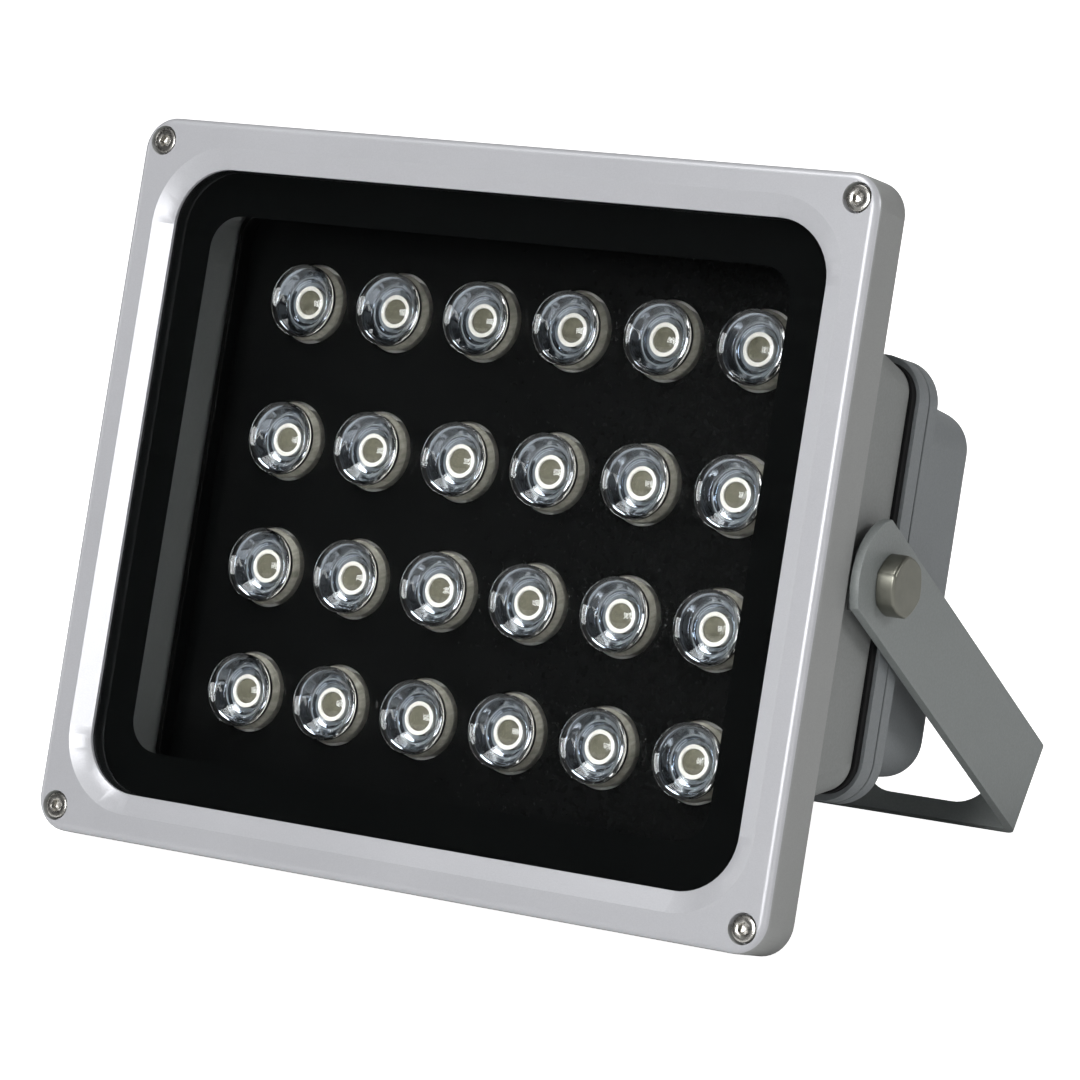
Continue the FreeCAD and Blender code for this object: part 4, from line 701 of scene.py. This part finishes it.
glass_outline = rounded_ring(GLASS_WIDTH, GLASS_HEIGHT, GLASS_CORNER, 16)
glass_mesh = cut_sheet(glass_outline, [], GLASS_THICKNESS, 0.5 * MM)
glass_mesh.transform(LAMP @ Matrix.Translation((0, GLASS_DEPTH, 0)))
glass = new_piece("glass_pane", glass_mesh, "lamp_head", "clear_glass", clear_glass)
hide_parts("front_glass")

black_print = plain_finish("black_print", (0.001, 0.0013, 0.0013), 0.5, 500, spread=0.4, Specular_IOR_Level=0.02)
WINDOW_WIDTH = 178 * MM
WINDOW_HEIGHT = 145 * MM
WINDOW_CORNER = 9 * MM
PRINT_GAP = 0.01 * MM
print_mesh = cut_sheet(
    rounded_ring(GLASS_WIDTH - 1 * MM, GLASS_HEIGHT - 1 * MM, GLASS_CORNER - 0.5 * MM, 16),
    [rounded_ring(WINDOW_WIDTH, WINDOW_HEIGHT, WINDOW_CORNER, 12)],
    0.1 * MM,
    0.01 * MM,
)
print_mesh.transform(LAMP @ Matrix.Translation((0, GLASS_DEPTH + GLASS_THICKNESS + PRINT_GAP, 0)))
glass_print = new_piece("glass_print", print_mesh, "lamp_head", "black_print", black_print)
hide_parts("glass_border_print")
dress(plain_finish("seal_silicone", (0.50, 0.52, 0.52), 0.5, 350), "glass_seal")

# Front frame.  An aluminium die casting with a bevelled opening, machined on its land and coated
# in a paler, silkier silver grey than the housing.  Its outer sides take a darker, greener grey:
# partly a tone of their own, partly painted shade.
frame_silver = coated(
    "frame_powder_coat", (0.455, 0.46, 0.485), (0.515, 0.52, 0.545), 0.30, 0.42, 2600, 0.00005, Metallic=0.25
)
# The darker grey of the frame's outer sides is partly their own tone and partly painted shade.
frame_side_tone_and_shade = coated("frame_side_tone_and_painted_shade", (0.27, 0.275, 0.27), (0.32, 0.325, 0.32), 0.36, 0.48, 2600, 0.00005)
bezel_mesh = eased_copy("front_frame", 0.3 * MM)
bezel = new_piece("bezel", bezel_mesh, "lamp_head", "frame_coat", frame_silver, frame_side_tone_and_shade)
FRONT_EDGE = 1.2 * MM
# Outer side faces get the darker grey, partly their own tone and partly painted shade.
for face in bezel_mesh.polygons:
    spot = to_lamp @ face.center
    facing = (to_lamp.to_3x3() @ face.normal).y
    outer = abs(spot.x) > 105 * MM or abs(spot.z) > 90 * MM
    face.material_index = int(outer and spot.y > FRONT_EDGE and abs(facing) < 0.35)
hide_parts("front_frame")

# Frame screws.  Four stainless M4 socket-head screws, sunk in counterbores at the corners; each
# was left at its own turn.
def socket_head(head, high, shank, length, flats, deep):
    """A socket-head screw seen from the front: its head at depth 0, its shank behind."""
    work = bmesh.new()
    round_steps = 48
    radius = head / 2

    def ring(size, depth):
        return [
            work.verts.new((size * math.cos(math.tau * step / round_steps), depth, size * math.sin(math.tau * step / round_steps)))
            for step in range(round_steps)
        ]

    def socket_ring(depth):
        """The hexagon, with as many points as the rings so that the two join in plain quads."""
        points = []
        for step in range(round_steps):
            turn = math.tau * step / round_steps
            from_flat = (turn % (math.pi / 3)) - math.pi / 6
            reach = flats / 2 / math.cos(from_flat)
            points.append(work.verts.new((reach * math.cos(turn), depth, reach * math.sin(turn))))
        return points

    rings = [
        socket_ring(deep), socket_ring(0.12 * MM), ring(flats * 0.68, 0),
        ring(radius - 0.5 * MM, 0), ring(radius - 0.15 * MM, 0.12 * MM), ring(radius, 0.5 * MM), ring(radius, high),
        ring(shank / 2, high), ring(shank / 2, high + length - 0.4 * MM), ring(shank / 2 - 0.4 * MM, high + length),
    ]
    for near, far in zip(rings, rings[1:]):
        for step in range(round_steps):
            after = (step + 1) % round_steps
            work.faces.new((near[step], near[after], far[after], far[step]))
    for flat, depth in ((rings[0], deep + 0.5 * MM), (rings[-1], high + length)):
        tip = work.verts.new((0, depth, 0))
        for step in range(round_steps):
            work.faces.new((flat[step], flat[(step + 1) % round_steps], tip))
    bmesh.ops.recalc_face_normals(work, faces=work.faces)
    mesh = bpy.data.meshes.new("socket_head")
    work.to_mesh(mesh)
    work.free()
    smooth_by_angle(mesh, 35)
    return mesh


FRAME_SCREW_POINTS = [(106 * MM * side, 0, 90.5 * MM * end) for end in (1, -1) for side in (1, -1)]
screws_mesh = set_out(
    socket_head(6.8 * MM, 4 * MM, 4 * MM, 12 * MM, 3 * MM, 2.2 * MM), FRAME_SCREW_POINTS, 0.4 * MM, screw_steel, 1.0, 5
)
screws = new_piece("frame_screws_turned", screws_mesh, "lamp_head", "screw_steel", screw_steel)
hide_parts("frame_screws")

# Driver compartment.  The LED driver on the housing floor, its leads through a rubber grommet to
# the board, and the terminal block where the mains cable is joined.  The rear cover hides them.
dress(plain_finish("driver_white", (0.75, 0.75, 0.73), 0.35, 60), "led_driver")
dark_rubber = plain_finish("dark_rubber", (0.007, 0.007, 0.0075), 0.6, 500, spread=0.3, Specular_IOR_Level=0.15)
dress(dark_rubber, "wire_grommet", "rear_cover_seal")
dress(plain_finish("lead_red", (0.45, 0.03, 0.025), 0.4, 300), "lead_wires", "driver_leads")
dress(plain_finish("terminal_ivory", (0.70, 0.69, 0.62), 0.35, 200), "terminal_block")

# Flange cord.  A black rubber cord in the corner between the shell and the rear flange of the
# housing; it is seen as a dark line all round, partly the cord and partly painted shade of the crease.
# This dark line stands partly for a rubber cord and partly for painted shade in the crease.
cord_mesh = cut_sheet(
    rounded_ring(221.2 * MM, 109.7 * MM, 8.9 * MM, 12),
    [rounded_ring(216 * MM, 104 * MM, 6.5 * MM, 12)],
    2.4 * MM,
    0.25 * MM,
)
cord_mesh.transform(LAMP @ Matrix.Translation((0, 36.15 * MM, 0)))
cord_and_crease_shade = new_piece("flange_cord", cord_mesh, "lamp_head", "seal_rubber", dark_rubber)

# Rear cover.  A second die casting in the same matt coat, a shade bluer, screwed over the driver
# compartment with four sunk screws and a thin rubber seal.
cover = new_piece("cover_casting", eased_copy("rear_cover", 0.4 * MM), "lamp_head", "cover_coat", cover_grey)
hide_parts("rear_cover")
dress(screw_steel, "rear_cover_screws")

# Cable gland.  Black nylon: hexagon body through the cover, lock nut inside, cap and rubber bush.
gland_black = plain_finish("gland_nylon", (0.02, 0.02, 0.021), 0.45, 700, spread=0.3)
dress(gland_black, "gland_nut")
gland = new_piece("gland_body_moulded", eased_copy("gland_body", 0.25 * MM), "lamp_head", "gland_black", gland_black)
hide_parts("gland_body")
gland_cap = new_piece("gland_cap_moulded", eased_copy("gland_cap", 0.3 * MM), "lamp_head", "gland_black", gland_black)
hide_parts("gland_cap")
dress(dark_rubber, "gland_bush")

# Pivot bolts and washers.  Zinc-plated M8 hexagon bolts, the plating dulled and faintly yellow,
# each on a plain washer between the boss of the housing and the arm.
bolt_zinc, zinc_shader = shader("bolt_zinc", Metallic=1.0)
place = add_node(bolt_zinc, "TexCoord")
blotch = add_node(bolt_zinc, "TexNoise", Scale=240.0, Detail=5.0)
join(bolt_zinc, place.outputs["Object"], blotch.inputs["Vector"])
plating = add_node(bolt_zinc, "Mix", data_type="RGBA")
plating.inputs["A"].default_value = (0.16, 0.16, 0.135, 1)
plating.inputs["B"].default_value = (0.28, 0.28, 0.24, 1)
join(bolt_zinc, blotch.outputs["Fac"], plating.inputs["Factor"])
join(bolt_zinc, plating.outputs["Result"], zinc_shader.inputs["Base Color"])
dulling = add_node(bolt_zinc, "MapRange", To_Min=0.28, To_Max=0.5)
join(bolt_zinc, blotch.outputs["Fac"], dulling.inputs["Value"])
join(bolt_zinc, dulling.outputs["Result"], zinc_shader.inputs["Roughness"])
forged = add_node(bolt_zinc, "Bump", Strength=0.4, Distance=0.0001)
join(bolt_zinc, blotch.outputs["Fac"], forged.inputs["Height"])
join(bolt_zinc, forged.outputs["Normal"], zinc_shader.inputs["Normal"])
BOLT_FLATS = 16.4 * MM
BOLT_ROUND = 8.3 * MM
BOLT_HIGH = 5.2 * MM
BOLT_SHANK = 8 * MM
BOLT_LONG = 14.5 * MM


def forged_bolt(steps=72):
    """A worn hexagon bolt along X: its corners almost round, its underside at 0, its head outward."""
    work = bmesh.new()

    def ring(place, share, hexagon=True):
        points = []
        for step in range(steps):
            turn = math.tau * step / steps
            reach = BOLT_FLATS / 2 / math.cos((turn % (math.pi / 3)) - math.pi / 6)
            soft = (reach**-8 + BOLT_ROUND**-8) ** (-1 / 8)
            size = soft * share if hexagon else share
            points.append(work.verts.new((place, size * math.cos(turn), size * math.sin(turn))))
        return points

    rings = [
        ring(-BOLT_LONG, BOLT_SHANK / 2 - 0.8 * MM, False), ring(0.8 * MM - BOLT_LONG, BOLT_SHANK / 2, False),
        ring(0, BOLT_SHANK / 2, False), ring(0, 0.97), ring(0.25 * MM, 1), ring(BOLT_HIGH - 0.9 * MM, 1),
        ring(BOLT_HIGH - 0.4 * MM, 0.985), ring(BOLT_HIGH - 0.1 * MM, 0.95), ring(BOLT_HIGH, 0.91),
    ]
    for near, far in zip(rings, rings[1:]):
        for step in range(steps):
            after = (step + 1) % steps
            work.faces.new((near[step], near[after], far[after], far[step]))
    work.faces.new(rings[0])
    work.faces.new(rings[-1])
    bmesh.ops.recalc_face_normals(work, faces=work.faces)
    mesh = bpy.data.meshes.new("forged_bolt")
    work.to_mesh(mesh)
    work.free()
    smooth_by_angle(mesh, 40)
    for face in mesh.polygons:
        face.use_smooth = len(face.vertices) == 4
    return mesh


low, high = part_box("pivot_bolts")
BOLT_SEAT = high[0] - BOLT_HIGH
bolt_meshes = []
for turn, side in ((0, 1), (math.pi, -1)):
    one = forged_bolt()
    one.transform(
        Matrix.Translation((BOLT_SEAT * side, PIVOT.y, PIVOT.z))
        @ Matrix.Rotation(turn, 4, "Z")
        @ Matrix.Rotation(math.radians(24), 4, "X")
    )
    bolt_meshes.append(one)
bolts_mesh = joined("bolts", bolt_meshes)
bolts = new_piece("pivot_bolts_forged", bolts_mesh, "lamp_head", "bolt_zinc", bolt_zinc)
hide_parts("pivot_bolts")
dress(screw_steel, "friction_washers")

# Bracket.  A steel strap, punched and bent to a U, then coated in the housing's grey.
strap_grey = coated(
    "strap_powder_coat", (0.20, 0.217, 0.214), (0.25, 0.268, 0.264), 0.38, 0.52, 1700, 0.0001
)
strap = new_piece("strap", eased_copy("u_bracket", 0.25 * MM), "bracket", "bracket_coat", strap_grey)
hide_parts("u_bracket")
